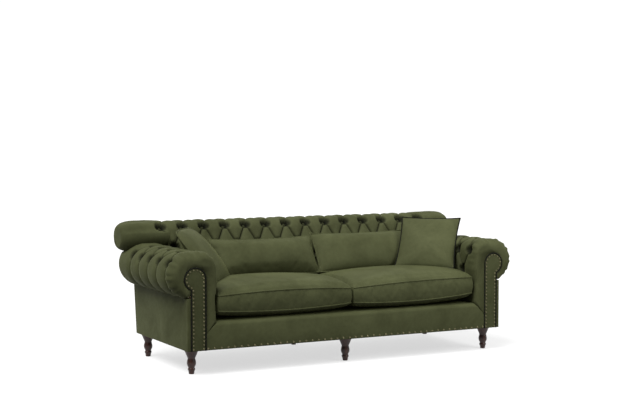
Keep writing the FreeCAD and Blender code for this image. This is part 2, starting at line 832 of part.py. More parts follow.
def make_legs():
    plain = turned_leg().cut(hex_bar(bolt_radius, 0, 0, leg_height - bolt_in_leg, leg_height))
    legs, bolts, blocks = {"front": [], "rear": []}, [], []
    for x, y in leg_places():
        legs["front" if y < 0 else "rear"].append(plain.translated(Vector(x, y, 0)))
        bolt = hex_bar(bolt_radius, x, y, leg_height - bolt_in_leg, leg_height + leg_block_height)
        bolts.append(bolt)
        blocks.append(leg_block(x, y).cut(bolt))
    for row, turned in legs.items():
        save("legs_" + row, Part.makeCompound(turned))
    save("leg_bolts", Part.makeCompound(bolts))
    save("leg_blocks", Part.makeCompound(blocks))


def leg_block(x, y):
    """Block behind the rail, over the leg, that its bolt screws into."""
    rib_back = outside_back_y(leg_height) - panel_thickness
    rear_rail_y = rib_back - rail_thickness
    if y < 0:
        y0 = rail_back_y if x == 0 else post_y + post_thickness
        y1 = rail_back_y + leg_block_depth
    else:
        y0, y1 = rear_rail_y - leg_block_depth, rear_rail_y
    if x == 0:
        x0, x1 = -leg_top_radius, leg_top_radius
    else:
        inner, outer = facing_inner_x + post_clearance, half_body - panel_thickness - rail_thickness
        x0, x1 = (inner, outer) if x > 0 else (-outer, -inner)
    return block(x0, x1, y0, y1, leg_height, leg_height + leg_block_height)


# Cushions

def cushion_grid(steps):
    return [math.sin(math.pi / 2 * (2 * k / steps - 1)) for k in range(steps + 1)]


def crown(a, b):
    return ((1 - a ** 2) * (1 - b ** 2)) ** cushion_fullness


def boxed_cushion(x0, x1, y0, y1, steps):
    """A boxed cushion: crowned top, bellied underside, bowed seams and a drawn-in border."""
    cx, cy, hx, hy = (x0 + x1) / 2, (y0 + y1) / 2, (x1 - x0) / 2, (y1 - y0) / 2
    line_up = cushion_grid(steps)

    def plan(a, b):
        return cx + a * (hx - side_bow * (b ** 2)), cy + b * (hy - side_bow * (a ** 2))

    def bow(a, b):
        return seam_bow * ((1 - a ** 2) * b ** 4 + (1 - b ** 2) * a ** 4)

    def upper(a, b):
        return Vector(*plan(a, b), cushion_upper_seam + bow(a, b) + cushion_crown * crown(a, b))

    def lower(a, b):
        belly = cushion_lower_seam - seat_level - joint_gap
        height = cushion_lower_seam - bow(a, b) - belly * crown(a, b)
        return Vector(*plan(a, b), max(seat_level + joint_gap, height))

    return pillow_solid(line_up, upper, lower)


def pillow_solid(line_up, upper, lower):
    """Closes two gridded faces along their rims, with a side wall where the rims are apart."""
    faces = []
    for a0, a1 in zip(line_up, line_up[1:]):
        for skin in (upper, lower):
            faces += strip([skin(a0, b) for b in line_up], [skin(a1, b) for b in line_up],
                           lambda k, a=a0: (a >= 0) == (line_up[k] >= 0))
    rim = [(a, -1.0) for a in line_up] + [(1.0, b) for b in line_up[1:]]
    rim += [(a, 1.0) for a in line_up[-2::-1]] + [(-1.0, b) for b in line_up[-2::-1]]
    if upper(1.0, 1.0).distanceToPoint(lower(1.0, 1.0)) > joint_gap:
        faces += strip([upper(a, b) for a, b in rim], [lower(a, b) for a, b in rim], lambda k: True)
    return solid_from(faces)


def knife_cushion(width, height, thickness, steps):
    """A knife-edged cushion standing in the plane across Y, its sides drawn in between pointed corners."""
    line_up = cushion_grid(steps)

    def skin(a, b, side):
        x = a * width / 2 * (1 - corner_pull * (1 - b ** 2))
        z = b * height / 2 * (1 - corner_pull * (1 - a ** 2))
        swell = ((1 - a ** 2) * (1 - b ** 2)) ** loose_fullness
        return Vector(x, side * thickness / 2 * swell, z)

    return pillow_solid(line_up, lambda a, b: skin(a, b, -1), lambda a, b: skin(a, b, 1))


def with_pad(cushion, pad):
    """Cover with the room its pad takes, and the pad."""
    return cushion.cut(pad), pad


def make_seat_cushions():
    outer = half_seat - cushion_gap
    front = facing_y + cushion_front_inset
    back = back_foot.y + cushion_past_foot
    spans = {"left": (-outer, cushion_split - cushion_gap / 2),
             "right": (cushion_split + cushion_gap / 2, outer)}
    middle = (cushion_lower_seam + cushion_upper_seam) / 2
    for side, (x0, x1) in spans.items():
        cushion = boxed_cushion(x0, x1, front, back, cushion_facets)
        core = block(x0 + core_margin, x1 - core_margin, front + core_margin, back - core_margin,
                     middle - core_height / 2, middle + core_height / 2)
        cover, pad = with_pad(cushion, core)
        save("seat_cushion_" + side, cover)
        save("seat_core_" + side, pad)


def make_loose_cushion(name, side, shape, pad, place, turn, lean):
    tilt = Rotation(Vector(0, 0, 1), turn).multiply(Rotation(Vector(1, 0, 0), -lean))
    placement = Placement(place, tilt)
    cover, inner = with_pad(shape, pad)
    cover.Placement = placement.multiply(cover.Placement)
    inner.Placement = placement.multiply(inner.Placement)
    save(name + "_cushion_" + side, cover)
    save(name + "_pad_" + side, inner)


def make_loose_cushions():
    lumbar_width = half_seat - lumbar_end_room / 2 - cushion_gap / 2
    lumbar_y = back_front_centre_y - lumbar_forward
    lumbar_z = seat_level + lumbar_rise
    left = Vector(left_scatter_inset - half_seat, lumbar_y - left_scatter_forward,
                  seat_level + left_scatter_rise)
    right = Vector(half_seat - right_scatter_inset, lumbar_y - right_scatter_forward,
                   seat_level + right_scatter_rise)
    scatters = {"left": (left, left_scatter_turn_angle, left_scatter_lean_angle),
                "right": (right, -right_scatter_turn_angle, right_scatter_lean_angle)}
    for side, sign in (("left", -1), ("right", 1)):
        shape, pad = cushion_and_pad(lumbar_width, lumbar_height, lumbar_thickness)
        place = Vector(lumbar_split + sign * (lumbar_width + cushion_gap) / 2, lumbar_y, lumbar_z)
        make_loose_cushion("lumbar", side, shape, pad, place, 0.0, lumbar_lean_angle)
        shape, pad = cushion_and_pad(scatter_side, scatter_side, scatter_thickness)
        make_loose_cushion("scatter", side, shape, pad, *scatters[side])


def cushion_and_pad(width, height, thickness):
    pad = knife_cushion(width * pad_share, height * pad_share, thickness * pad_share, pad_facets)
    return knife_cushion(width, height, thickness, cushion_facets), pad


os.makedirs("parts", exist_ok=True)
make_back_pad()
make_arm_pad()
make_arm_facing()
make_facing_nails()
make_front_border()
make_outside_covers()
make_frame()
make_platform()
make_dust_cover()
make_legs()
make_seat_cushions()
make_loose_cushions()
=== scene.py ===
import json
import math

import bpy
import numpy as np
from bpy.props import FloatProperty, FloatVectorProperty, IntProperty, PointerProperty
from mathutils import Matrix, Vector


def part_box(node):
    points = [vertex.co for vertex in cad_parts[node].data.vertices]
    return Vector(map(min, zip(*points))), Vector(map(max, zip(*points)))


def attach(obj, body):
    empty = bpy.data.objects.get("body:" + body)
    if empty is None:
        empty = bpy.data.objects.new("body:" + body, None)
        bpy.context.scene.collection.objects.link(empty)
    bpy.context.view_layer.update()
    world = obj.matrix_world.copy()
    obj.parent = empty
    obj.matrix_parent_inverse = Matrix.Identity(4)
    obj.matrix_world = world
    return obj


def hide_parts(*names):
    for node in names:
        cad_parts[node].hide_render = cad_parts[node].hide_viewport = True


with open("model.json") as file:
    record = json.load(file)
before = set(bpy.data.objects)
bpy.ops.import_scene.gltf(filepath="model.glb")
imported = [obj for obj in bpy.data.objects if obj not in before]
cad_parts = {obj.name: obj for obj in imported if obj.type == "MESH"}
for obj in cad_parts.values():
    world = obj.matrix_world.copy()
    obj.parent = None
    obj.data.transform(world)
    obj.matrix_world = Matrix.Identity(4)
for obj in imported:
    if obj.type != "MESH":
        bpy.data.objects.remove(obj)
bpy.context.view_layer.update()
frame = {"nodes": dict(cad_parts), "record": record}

bl_info = {
    "name": "Buttoned Sofa",
    "version": (1, 0, 0),
    "blender": (4, 5, 0),
    "location": "3D View > Sidebar > Sofa",
    "description": "Dresses the sofa's frame with tufted velvet, cushions, trim and turned legs",
    "category": "Object",
}

# Measures that the padding shares with the frame, in metres

REAR_Y = 0.4725
FACING_Y = -0.469
SEAT_LEVEL = 0.304
HALF_LENGTH = 1.175
HALF_SEAT = 0.876
PITCH = 0.142

ROLL_RADIUS = 0.093
ROLL_CROWN = 0.025
ROLL_Z = 0.737
ROLL_REAR_Y = REAR_Y - ROLL_RADIUS
ROLL_FRONT_Y = ROLL_REAR_Y - ROLL_CROWN
RAKE = math.radians(20.6)
BACK_TUCK = math.radians(64.0)
END_ROUND = 0.12
END_FACE = 0.58
BACK_ROWS = (0.260, 0.394, 0.539, 0.694)
UPPER_BUTTONS = 14

ARM_TOP = 0.700
ARM_RADIUS = 0.130
ARM_CENTRE_X = 1.038
ARM_CENTRE_Z = 0.570
CROWN_RADIUS = 0.080
ARM_LEAN = 0.021
ARM_TUCK = math.radians(80.0)
ARM_ROWS = (0.2015, 0.3325, 0.490, 0.6235)
ARM_BUTTONS = 5
FIRST_BUTTON_Y = -0.377
FRONT_ROUND = 0.068
FRONT_SWELL = 0.060
REAR_ROUND = 0.060
REAR_SWELL = 0.036
ARM_REAR_Y = 0.4205

FACING_X = 1.013
FACING_Z = 0.550
FACING_RADIUS = 0.066
FACING_COLUMN = 0.091
LEG_TOP = 0.142

OUTSIDE_FOOT_Y = 0.357
OUTSIDE_RUN = 0.0635
OUTSIDE_HEIGHT = 0.498
OUTSIDE_TOP = 0.640
PAD_DEPTH = 0.056
PAD_RUN = 0.125
PAD_FOOT_Z = 0.285

BUTTON_RISE = 0.004
PUCKER_RADIUS = 0.022
PUCKER_WIDTH = 0.016
SETTLED_BY = 0.006
NAIL_EDGE = 0.011
FACING_NAIL_EDGE = 0.0135
HALF_BORDER = 0.947
LEG_SPACING = 1.0
LEG_ROWS = (("front", -0.377), ("rear", 0.314))
SIDES = ("left", "right")

FLAP_X = 0.974
FLAP_SET_IN = 0.012
FLAP_WIDTH = 0.212
FLAP_THICK = 0.006
FLAP_BOTTOM = 0.490
FLAP_TOP = 0.648

LUMBAR_SIZE = (0.698, 0.270, 0.165)
LUMBAR_DROP = 0.015
LUMBAR_LEAN = math.radians(30.0)
SCATTER_SIZE = (0.385, 0.385, 0.120)
LUMBARS = {"left": (-0.3055, 0.106, 0.604), "right": (0.3955, 0.106, 0.611)}
SCATTERS = {"left": ((-0.795, -0.078, 0.6475), math.radians(52.0), math.radians(40.0)),
            "right": ((0.777, -0.072, 0.6625), math.radians(-43.0), math.radians(38.0))}

CELLS = 14


# Settings

class VelvetSettings(bpy.types.PropertyGroup):
    pile: FloatVectorProperty(name="Pile", description="Colour looking into the pile", subtype="COLOR",
                              default=(0.0355, 0.0388, 0.0162), min=0.0, max=1.0)
    brushed: FloatVectorProperty(name="Brushed", description="Colour where the nap lies flat",
                                 subtype="COLOR", default=(0.083, 0.0905, 0.041), min=0.0, max=1.0)
    # Painted shade: the colour that the velvet is darkened to in pleats and pits, where shade falls
    shadowed: FloatVectorProperty(name="Shadowed", description="Colour of crushed pile deep in a pleat",
                                 subtype="COLOR", default=(0.0022, 0.0026, 0.0012), min=0.0, max=1.0)
    glow: FloatVectorProperty(name="Glow", description="Colour of the light along the edges of a fold",
                              subtype="COLOR", default=(0.32, 0.35, 0.13), min=0.0, max=1.0)
    patch_scale: FloatProperty(name="Patch scale", description="How many brushed patches lie in a metre",
                               default=5.0, min=0.5, max=40.0)


class TuftSettings(bpy.types.PropertyGroup):
    pleat: FloatProperty(name="Pleat depth", description="How deep a pleat lies below the crown",
                         default=0.017, min=0.0, max=0.03, unit="LENGTH")
    reach: FloatProperty(name="Pleat reach", description="How far a pleat rounds off the padding beside it",
                         default=0.062, min=0.02, max=0.1, unit="LENGTH")
    back_pit: FloatProperty(name="Back pit depth", description="How deep a button sits in the back",
                            default=0.058, min=0.0, max=0.08, unit="LENGTH")
    arm_pit: FloatProperty(name="Arm pit depth", description="How deep a button sits in an arm",
                           default=0.054, min=0.0, max=0.08, unit="LENGTH")
    pit_reach: FloatProperty(name="Pit reach", description="How wide the pit round a button is",
                             default=0.037, min=0.01, max=0.06, unit="LENGTH")
    wrinkle: FloatProperty(name="Wrinkle", description="Height of the puckers round a button",
                           default=0.0012, min=0.0, max=0.005, unit="LENGTH")


class CushionSettings(bpy.types.PropertyGroup):
    pressure: FloatProperty(name="Filling pressure", description="How hard the filling pushes on the cover",
                            default=4.0, min=0.0, max=20.0)
    slack: FloatProperty(name="Slack", description="Share by which a cover is larger than its filling",
                         default=0.014, min=0.0, max=0.2)
    frames: IntProperty(name="Frames", description="How long a cover is left to settle", default=20, min=1,
                        max=60)
    piping: FloatProperty(name="Piping", description="Radius of the piping", default=0.0045, min=0.001,
                          max=0.01, unit="LENGTH")


class TrimSettings(bpy.types.PropertyGroup):
    nail_radius: FloatProperty(name="Nail radius", description="Radius of a nail head", default=0.0062,
                               min=0.002, max=0.01, unit="LENGTH")
    facing_pitch: FloatProperty(name="Facing nail pitch", description="Distance between nails on a facing",
                                default=0.022, min=0.01, max=0.1, unit="LENGTH")
    border_pitch: FloatProperty(name="Border nail pitch", description="Distance between nails on the border",
                                default=0.042, min=0.01, max=0.1, unit="LENGTH")
    nail_colour: FloatVectorProperty(name="Nail", description="Colour of the nail heads", subtype="COLOR",
                                     default=(0.078, 0.071, 0.038), min=0.0, max=1.0)


class WoodSettings(bpy.types.PropertyGroup):
    dark: FloatVectorProperty(name="Dark grain", description="Darkest colour of the polished legs",
                              subtype="COLOR", default=(0.010, 0.0033, 0.002), min=0.0, max=1.0)
    light: FloatVectorProperty(name="Light grain", description="Lightest colour of the polished legs",
                               subtype="COLOR", default=(0.062, 0.018, 0.009), min=0.0, max=1.0)


class StageSettings(bpy.types.PropertyGroup):
    floor: FloatVectorProperty(name="Floor", description="Colour of the floor", subtype="COLOR",
                               default=(0.32, 0.32, 0.32), min=0.0, max=1.0)
    floor_glow: FloatProperty(name="Floor glow", description="Light that the floor gives off by itself",
                              default=0.63, min=0.0, max=2.0)
    sky: FloatProperty(name="Sky", description="Strength of the light from all sides", default=0.24, min=0.0,
                       max=5.0)
    fill: FloatProperty(name="Fill", description="Power of the soft light on the right", default=90.0,
                        min=0.0, max=1000.0, unit="POWER")
    key: FloatProperty(name="Key", description="Strength of the large soft light", default=4.0, min=0.0,
                       max=20.0)


# Helpers

def only(obj):
    """Selects one object and nothing else."""
    bpy.ops.object.select_all(action="DESELECT")
    obj.select_set(True)
    bpy.context.view_layer.objects.active = obj


def add_mesh(name, points, faces):
    mesh = bpy.data.meshes.new(name)
    mesh.from_pydata([tuple(p) for p in points], [], faces)
    mesh.validate()
    obj = bpy.data.objects.new(name, mesh)
    bpy.context.scene.collection.objects.link(obj)
    only(obj)
    bpy.ops.object.mode_set(mode="EDIT")
    bpy.ops.mesh.select_all(action="SELECT")
    bpy.ops.mesh.normals_make_consistent(inside=False)
    bpy.ops.object.mode_set(mode="OBJECT")
    obj.data.polygons.foreach_set("use_smooth", [True] * len(obj.data.polygons))
    return obj


def dressed(obj, body, material, nodes=(), slot=None):
    """Finishes a piece: its material, the body that it rides on and the nodes that it stands for."""
    obj.data.materials.clear()
    obj.data.materials.append(material)
    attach(obj, body)
    if nodes:
        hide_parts(*nodes)
    return obj


def joined(objs, name):
    bpy.ops.object.select_all(action="DESELECT")
    for obj in objs:
        obj.select_set(True)
    bpy.context.view_layer.objects.active = objs[0]
    if len(objs) > 1:
        bpy.ops.object.join()
    obj = bpy.context.view_layer.objects.active
    obj.name = name
    obj.data.name = name
    bpy.ops.object.transform_apply(location=True, rotation=True, scale=True)
    return obj


def copies(template, places, name):
    """The template once at each (place, outward direction), as one object; the template goes."""
    made = []
    for place, outward in places:
        turn = Vector(outward).to_track_quat("Z", "Y").to_matrix().to_4x4()
        obj = bpy.data.objects.new(name, template.data.copy())
        obj.data.transform(Matrix.Translation(Vector(place)) @ turn)
        bpy.context.scene.collection.objects.link(obj)
        made.append(obj)
    bpy.data.objects.remove(template)
    return joined(made, name)


def shaded(obj, amount):
    """Paints a whole piece darker with painted shade, as lying in the dark of its pit."""
    painted_shade = obj.data.attributes.new("Painted_Shade", "FLOAT", "POINT")
    painted_shade.data.foreach_set("value", np.full(len(obj.data.vertices), amount, np.float32))
    return obj


def tube(name, path, radius, sides=10, closed=True):
    """A round cord along a path of points."""
    path = [Vector(p) for p in path]
    count = len(path)
    points, faces = [], []
    for i, at in enumerate(path):
        before = path[i - 1] if closed or i > 0 else at
        after = path[(i + 1) % count] if closed or i < count - 1 else at
        along = (after - before).normalized()
        across = along.cross(Vector((0, 0, 1)))
        if across.length < 0.2:
            across = along.cross(Vector((0, 1, 0)))
        across.normalize()
        up = across.cross(along)
        for k in range(sides):
            angle = 2 * math.pi * k / sides
            points.append(at + (across * math.cos(angle) + up * math.sin(angle)) * radius)
    for i in range(count if closed else count - 1):
        for k in range(sides):
            a, b = i * sides + k, i * sides + (k + 1) % sides
            c, d = ((i + 1) % count) * sides + (k + 1) % sides, ((i + 1) % count) * sides + k
            faces.append((a, b, c, d))
    if not closed:
        faces.append(tuple(range(sides)))
        faces.append(tuple(range((count - 1) * sides, count * sides)))
    return add_mesh(name, points, faces)


def softened(node, name, width, segments=3):
    """A copy of a panel from the frame with its hard edges rounded over."""
    obj = bpy.data.objects.new(name, frame["nodes"][node].data.copy())
    bpy.context.scene.collection.objects.link(obj)
    only(obj)
    bpy.ops.object.mode_set(mode="EDIT")
    bpy.ops.mesh.select_all(action="SELECT")
    bpy.ops.mesh.remove_doubles(threshold=0.00001)
    bpy.ops.mesh.dissolve_limited(angle_limit=math.radians(1.0))
    bpy.ops.object.mode_set(mode="OBJECT")
    edge = obj.modifiers.new("Edge", "BEVEL")
    edge.width, edge.segments, edge.limit_method = width, segments, "ANGLE"
    edge.angle_limit = math.radians(40.0)
    bpy.ops.object.modifier_apply(modifier="Edge")
    bpy.ops.object.shade_smooth_by_angle(angle=math.radians(50.0))
    return obj


# Shader groups

def new_group(name, inputs, outputs):
    group = bpy.data.node_groups.new(name, "ShaderNodeTree")
    for label, kind, value in inputs:
        socket = group.interface.new_socket(name=label, in_out="INPUT", socket_type=kind)
        socket.default_value = value
    for label, kind in outputs:
        group.interface.new_socket(name=label, in_out="OUTPUT", socket_type=kind)
    return group, group.nodes.new("NodeGroupInput"), group.nodes.new("NodeGroupOutput")


def node(tree, kind, inputs=None, **settings):
    made = tree.nodes.new(kind)
    for key, value in settings.items():
        setattr(made, key, value)
    for key, value in (inputs or {}).items():
        if isinstance(value, bpy.types.NodeSocket):
            tree.links.new(value, made.inputs[key])
        else:
            made.inputs[key].default_value = value
    return made


def nap_group():
    """Brushed patches and fine pile of velvet."""
    group, start, end = new_group(
        "Velvet Nap", [("Patches", "NodeSocketFloat", 5.0), ("Pile", "NodeSocketFloat", 700.0)],
        [("Shade", "NodeSocketFloat"), ("Height", "NodeSocketFloat")])
    place = node(group, "ShaderNodeTexCoord").outputs["Object"]
    broad = node(group, "ShaderNodeTexNoise", {"Vector": place, "Scale": start.outputs["Patches"],
                                               "Detail": 3.0, "Roughness": 0.55, "Distortion": 0.6})
    small = node(group, "ShaderNodeMath", {0: start.outputs["Patches"], 1: 9.0}, operation="MULTIPLY")
    streak = node(group, "ShaderNodeTexNoise", {"Vector": place, "Scale": small.outputs[0], "Detail": 4.0,
                                                "Roughness": 0.6})
    mixed = node(group, "ShaderNodeMath", {0: streak.outputs["Fac"], 1: 0.35}, operation="MULTIPLY")
    total = node(group, "ShaderNodeMath", {0: broad.outputs["Fac"], 1: mixed.outputs[0]}, operation="ADD")
    shade = node(group, "ShaderNodeMapRange", {"Value": total.outputs[0], "From Min": 0.25, "From Max": 1.1})
    pile = node(group, "ShaderNodeTexNoise", {"Vector": place, "Scale": start.outputs["Pile"], "Detail": 2.0})
    group.links.new(shade.outputs[0], end.inputs["Shade"])
    group.links.new(pile.outputs["Fac"], end.inputs["Height"])
    return group


def weave_group():
    """Crossed threads of a plain cloth."""
    group, start, end = new_group("Plain Weave", [("Threads", "NodeSocketFloat", 400.0)],
                                  [("Shade", "NodeSocketFloat"), ("Height", "NodeSocketFloat")])
    place = node(group, "ShaderNodeTexCoord").outputs["Object"]
    warp = node(group, "ShaderNodeTexWave", {"Vector": place, "Scale": start.outputs["Threads"],
                                             "Distortion": 0.4}, bands_direction="X")
    weft = node(group, "ShaderNodeTexWave", {"Vector": place, "Scale": start.outputs["Threads"],
                                             "Distortion": 0.4}, bands_direction="Y")
    cross = node(group, "ShaderNodeMath", {0: warp.outputs["Fac"], 1: weft.outputs["Fac"]},
                 operation="MULTIPLY")
    fleck = node(group, "ShaderNodeTexNoise", {"Vector": place, "Scale": 60.0, "Detail": 4.0})
    group.links.new(fleck.outputs["Fac"], end.inputs["Shade"])
    group.links.new(cross.outputs[0], end.inputs["Height"])
    return group


def grain_group():
    """Long grain of timber, running along Z."""
    group, start, end = new_group("Timber Grain", [("Lines", "NodeSocketFloat", 60.0)],
                                  [("Shade", "NodeSocketFloat"), ("Height", "NodeSocketFloat")])
    place = node(group, "ShaderNodeTexCoord").outputs["Object"]
    long = node(group, "ShaderNodeMapping", {"Vector": place, "Scale": (1.0, 1.0, 0.12)})
    figure = node(group, "ShaderNodeTexNoise", {"Vector": long.outputs[0], "Scale": start.outputs["Lines"],
                                                "Detail": 5.0, "Roughness": 0.65, "Distortion": 1.2})
    pores = node(group, "ShaderNodeTexNoise", {"Vector": long.outputs[0], "Scale": 900.0, "Detail": 2.0})
    shade = node(group, "ShaderNodeMapRange", {"Value": figure.outputs["Fac"], "From Min": 0.3,
                                               "From Max": 0.72})
    group.links.new(shade.outputs[0], end.inputs["Shade"])
    group.links.new(pores.outputs["Fac"], end.inputs["Height"])
    return group


def place_group(tree, name, build, values):
    group = bpy.data.node_groups.get(name) or build()
    made = tree.nodes.new("ShaderNodeGroup")
    made.node_tree = group
    for key, value in values.items():
        made.inputs[key].default_value = value
    return made


def new_material(name, texture, dark, light, roughness, bump, bump_distance, sockets=None):
    """A material whose colour runs from dark to light with a texture group's shade."""
    old = bpy.data.materials.get(name)
    if old:
        return old
    material = bpy.data.materials.new(name)
    material.use_nodes = True
    tree = material.node_tree
    surface = tree.nodes["Principled BSDF"]
    pattern = place_group(tree, *texture)
    colour = node(tree, "ShaderNodeMix", {"Factor": pattern.outputs["Shade"]}, data_type="RGBA")
    colour.inputs[6].default_value = (*dark, 1.0)
    colour.inputs[7].default_value = (*light, 1.0)
    tree.links.new(colour.outputs[2], surface.inputs["Base Color"])
    rough = node(tree, "ShaderNodeMapRange", {"Value": pattern.outputs["Shade"], "To Min": roughness[0],
                                              "To Max": roughness[1]})
    tree.links.new(rough.outputs[0], surface.inputs["Roughness"])
    relief = node(tree, "ShaderNodeBump", {"Height": pattern.outputs["Height"], "Strength": bump,
                                           "Distance": bump_distance})
    tree.links.new(relief.outputs[0], surface.inputs["Normal"])
    for key, value in (sockets or {}).items():
        surface.inputs[key].default_value = value
    material.diffuse_color = (*light, 1.0)
    return material


def velvet():
    """Velvet whose colour is darkened by painted shade in pleats and pits."""
    s = bpy.context.scene.sofa_velvet
    if bpy.data.materials.get("Olive Velvet"):
        return bpy.data.materials["Olive Velvet"]
    nap = ("Velvet Nap", nap_group, {"Patches": s.patch_scale, "Pile": 700.0})
    material = new_material("Olive Velvet", nap, s.pile, s.brushed, (0.8, 0.62), 0.25, 0.0006,
                            {"Sheen Weight": 0.19, "Sheen Roughness": 0.30, "Sheen Tint": (*s.glow, 1.0),
                             "Specular IOR Level": 0.05})
    tree = material.node_tree
    surface = tree.nodes["Principled BSDF"]
    plain = surface.inputs["Base Color"].links[0].from_socket
    # Painted shade: the colour is mixed towards the shadowed colour by the per-point shade attribute
    painted_shade = node(tree, "ShaderNodeAttribute", attribute_name="Painted_Shade")
    dark = node(tree, "ShaderNodeMix", {"Factor": painted_shade.outputs["Fac"]}, data_type="RGBA")
    tree.links.new(plain, dark.inputs[6])
    dark.inputs[7].default_value = (*s.shadowed, 1.0)
    tree.links.new(dark.outputs[2], surface.inputs["Base Color"])
    return material


def dark_piping():
    return new_material("Dark Piping", ("Plain Weave", weave_group, {"Threads": 700.0}),
                        (0.003, 0.0034, 0.002), (0.009, 0.010, 0.006), (0.85, 0.7), 0.3, 0.0004,
                        {"Specular IOR Level": 0.1})


def plain_cloth(name, dark, light, threads):
    return new_material(name, ("Plain Weave", weave_group, {"Threads": threads}), dark, light, (0.9, 0.75),
                        0.4, 0.0005)


def inner_pad():
    return plain_cloth("Inner Pad", (0.62, 0.60, 0.55), (0.82, 0.80, 0.75), 420.0)


def timber():
    return new_material("Frame Timber", ("Timber Grain", grain_group, {"Lines": 45.0}), (0.36, 0.23, 0.12),
                        (0.62, 0.45, 0.27), (0.65, 0.5), 0.2, 0.0004)


def polished_wood():
    s = bpy.context.scene.sofa_wood
    return new_material("Polished Walnut", ("Timber Grain", grain_group, {"Lines": 70.0}), s.dark, s.light,
                        (0.42, 0.3), 0.06, 0.0002,
                        {"Coat Weight": 0.15, "Coat Roughness": 0.2, "Specular IOR Level": 0.3})


def nail_metal():
    s = bpy.context.scene.sofa_trim
    light = tuple(min(1.0, c * 1.9) for c in s.nail_colour)
    return new_material("Aged Nail", ("Timber Grain", grain_group, {"Lines": 160.0}), s.nail_colour, light,
                        (0.5, 0.34), 0.1, 0.0002, {"Metallic": 0.85})


def zinc():
    return new_material("Zinc", ("Timber Grain", grain_group, {"Lines": 200.0}), (0.4, 0.4, 0.42),
                        (0.62, 0.62, 0.64), (0.45, 0.3), 0.1, 0.0002, {"Metallic": 1.0})


# Buttoned padding

def clamped(value):
    return min(1.0, max(0.0, value))

def pleat_field(u, v, pleats, buttons, settings):
    """How far the cover lies below its smooth crown at each point, in arrays."""
    drop = np.zeros(np.broadcast(u, v).shape)
    reach, pit_reach = settings.reach, settings.pit_reach
    for (u0, v0, first), (u1, v1, last) in pleats:
        near = ((u > min(u0, u1) - reach) & (u < max(u0, u1) + reach)
                & (v > min(v0, v1) - reach) & (v < max(v0, v1) + reach))
        du, dv = u1 - u0, v1 - v0
        share = np.clip(((u[near] - u0) * du + (v[near] - v0) * dv) / (du * du + dv * dv), 0.0, 1.0)
        away = np.hypot(u[near] - u0 - share * du, v[near] - v0 - share * dv)
        rise = 1.0 - np.minimum(1.0, away / reach)
        depth = first + (last - first) * share
        fold = depth * (1.0 - np.sqrt(1.0 - rise ** 2)) + 0.22 * depth * np.exp(-away / 0.004)
        drop[near] = np.maximum(drop[near], fold)
    for number, (bu, bv, depth) in enumerate(buttons):
        away = np.hypot(u - bu, v - bv)
        near = away < 0.075
        share = np.clip(1.0 - away[near] / pit_reach, 0.0, 1.0)
        pit = settings.pleat + (depth - settings.pleat) * np.sin(math.pi / 2 * share) ** 1.6
        angle = np.arctan2(v[near] - bv, u[near] - bu)
        ring = np.exp(-((away[near] - PUCKER_RADIUS) / PUCKER_WIDTH) ** 2)
        pucker = ring * np.cos((7 + number % 3) * angle + 1.7 * number)
        deeper = np.where(share > 0, np.maximum(drop[near], pit), drop[near])
        drop[near] = deeper + settings.wrinkle * pucker
    return drop


def cell_steps(first, stops):
    """Path stations from a first one to each stop in equal steps."""
    line = [first]
    for stop, steps in stops:
        start = line[-1]
        line += [start + (stop - start) * (k + 1) / steps for k in range(steps)]
    return np.array(line)


def button_plan(rows, counts, first, depths):
    return [[(first[i] + k * PITCH, v, depths[i]) for k in range(counts[i])] for i, v in enumerate(rows)]


def pleat_plan(rows, pleat, low_v, high_v, last):
    pleats = []
    for lower, upper in zip(rows, rows[1:]):
        for u, v, _ in lower:
            pleats += [((u, v, pleat), (uu, vv, pleat)) for uu, vv, _ in upper
                       if abs(abs(uu - u) - PITCH / 2) < 0.001]
    pleats += [((u, v, pleat), (u, low_v, pleat * 0.6)) for u, v, _ in rows[0]]
    return pleats + [((u, v, pleat * last), (u, high_v, pleat * last * 0.7))
                     for u, v, _ in rows[-1]]


def shell(name, rings, painted_shade, cell_of_column, cell_of_row):
    """A closed skin over rings of points, one ring per column; triangles follow the pleats."""
    columns, count, _ = rings.shape
    faces = []
    for i in range(columns - 1):
        cell = cell_of_column[i]
        for k in range(count):
            a, b = i * count + k, (i + 1) * count + k
            c, d = (i + 1) * count + (k + 1) % count, i * count + (k + 1) % count
            row = cell_of_row[k]
            if row is None:
                faces.append((a, b, c, d))
            elif (cell + row) % 2:
                faces += [(a, b, c), (a, c, d)]
            else:
                faces += [(a, b, d), (b, c, d)]
    faces.append(tuple(range(count)))
    faces.append(tuple(range((columns - 1) * count, columns * count)))
    obj = add_mesh(name, rings.reshape(-1, 3), faces)
    # Painted shade per point, kept for the velvet to darken pleats and pits
    shade = obj.data.attributes.new("Painted_Shade", "FLOAT", "POINT")
    shade.data.foreach_set("value", painted_shade.ravel().astype(np.float32))
    return obj


def arc_point(centre_y, angle):
    return centre_y + ROLL_RADIUS * math.cos(angle), ROLL_Z + ROLL_RADIUS * math.sin(angle)


BACK_RUN = (ROLL_Z + ROLL_RADIUS * math.sin(RAKE) - SEAT_LEVEL) / math.cos(RAKE)
BACK_TURN = (math.pi / 2 - RAKE) * ROLL_RADIUS
BACK_PATH = BACK_RUN + BACK_TURN + ROLL_CROWN + (math.pi / 2 + BACK_TUCK) * ROLL_RADIUS
FOOT_Y = ROLL_FRONT_Y - ROLL_RADIUS * math.cos(RAKE) - BACK_RUN * math.sin(RAKE)


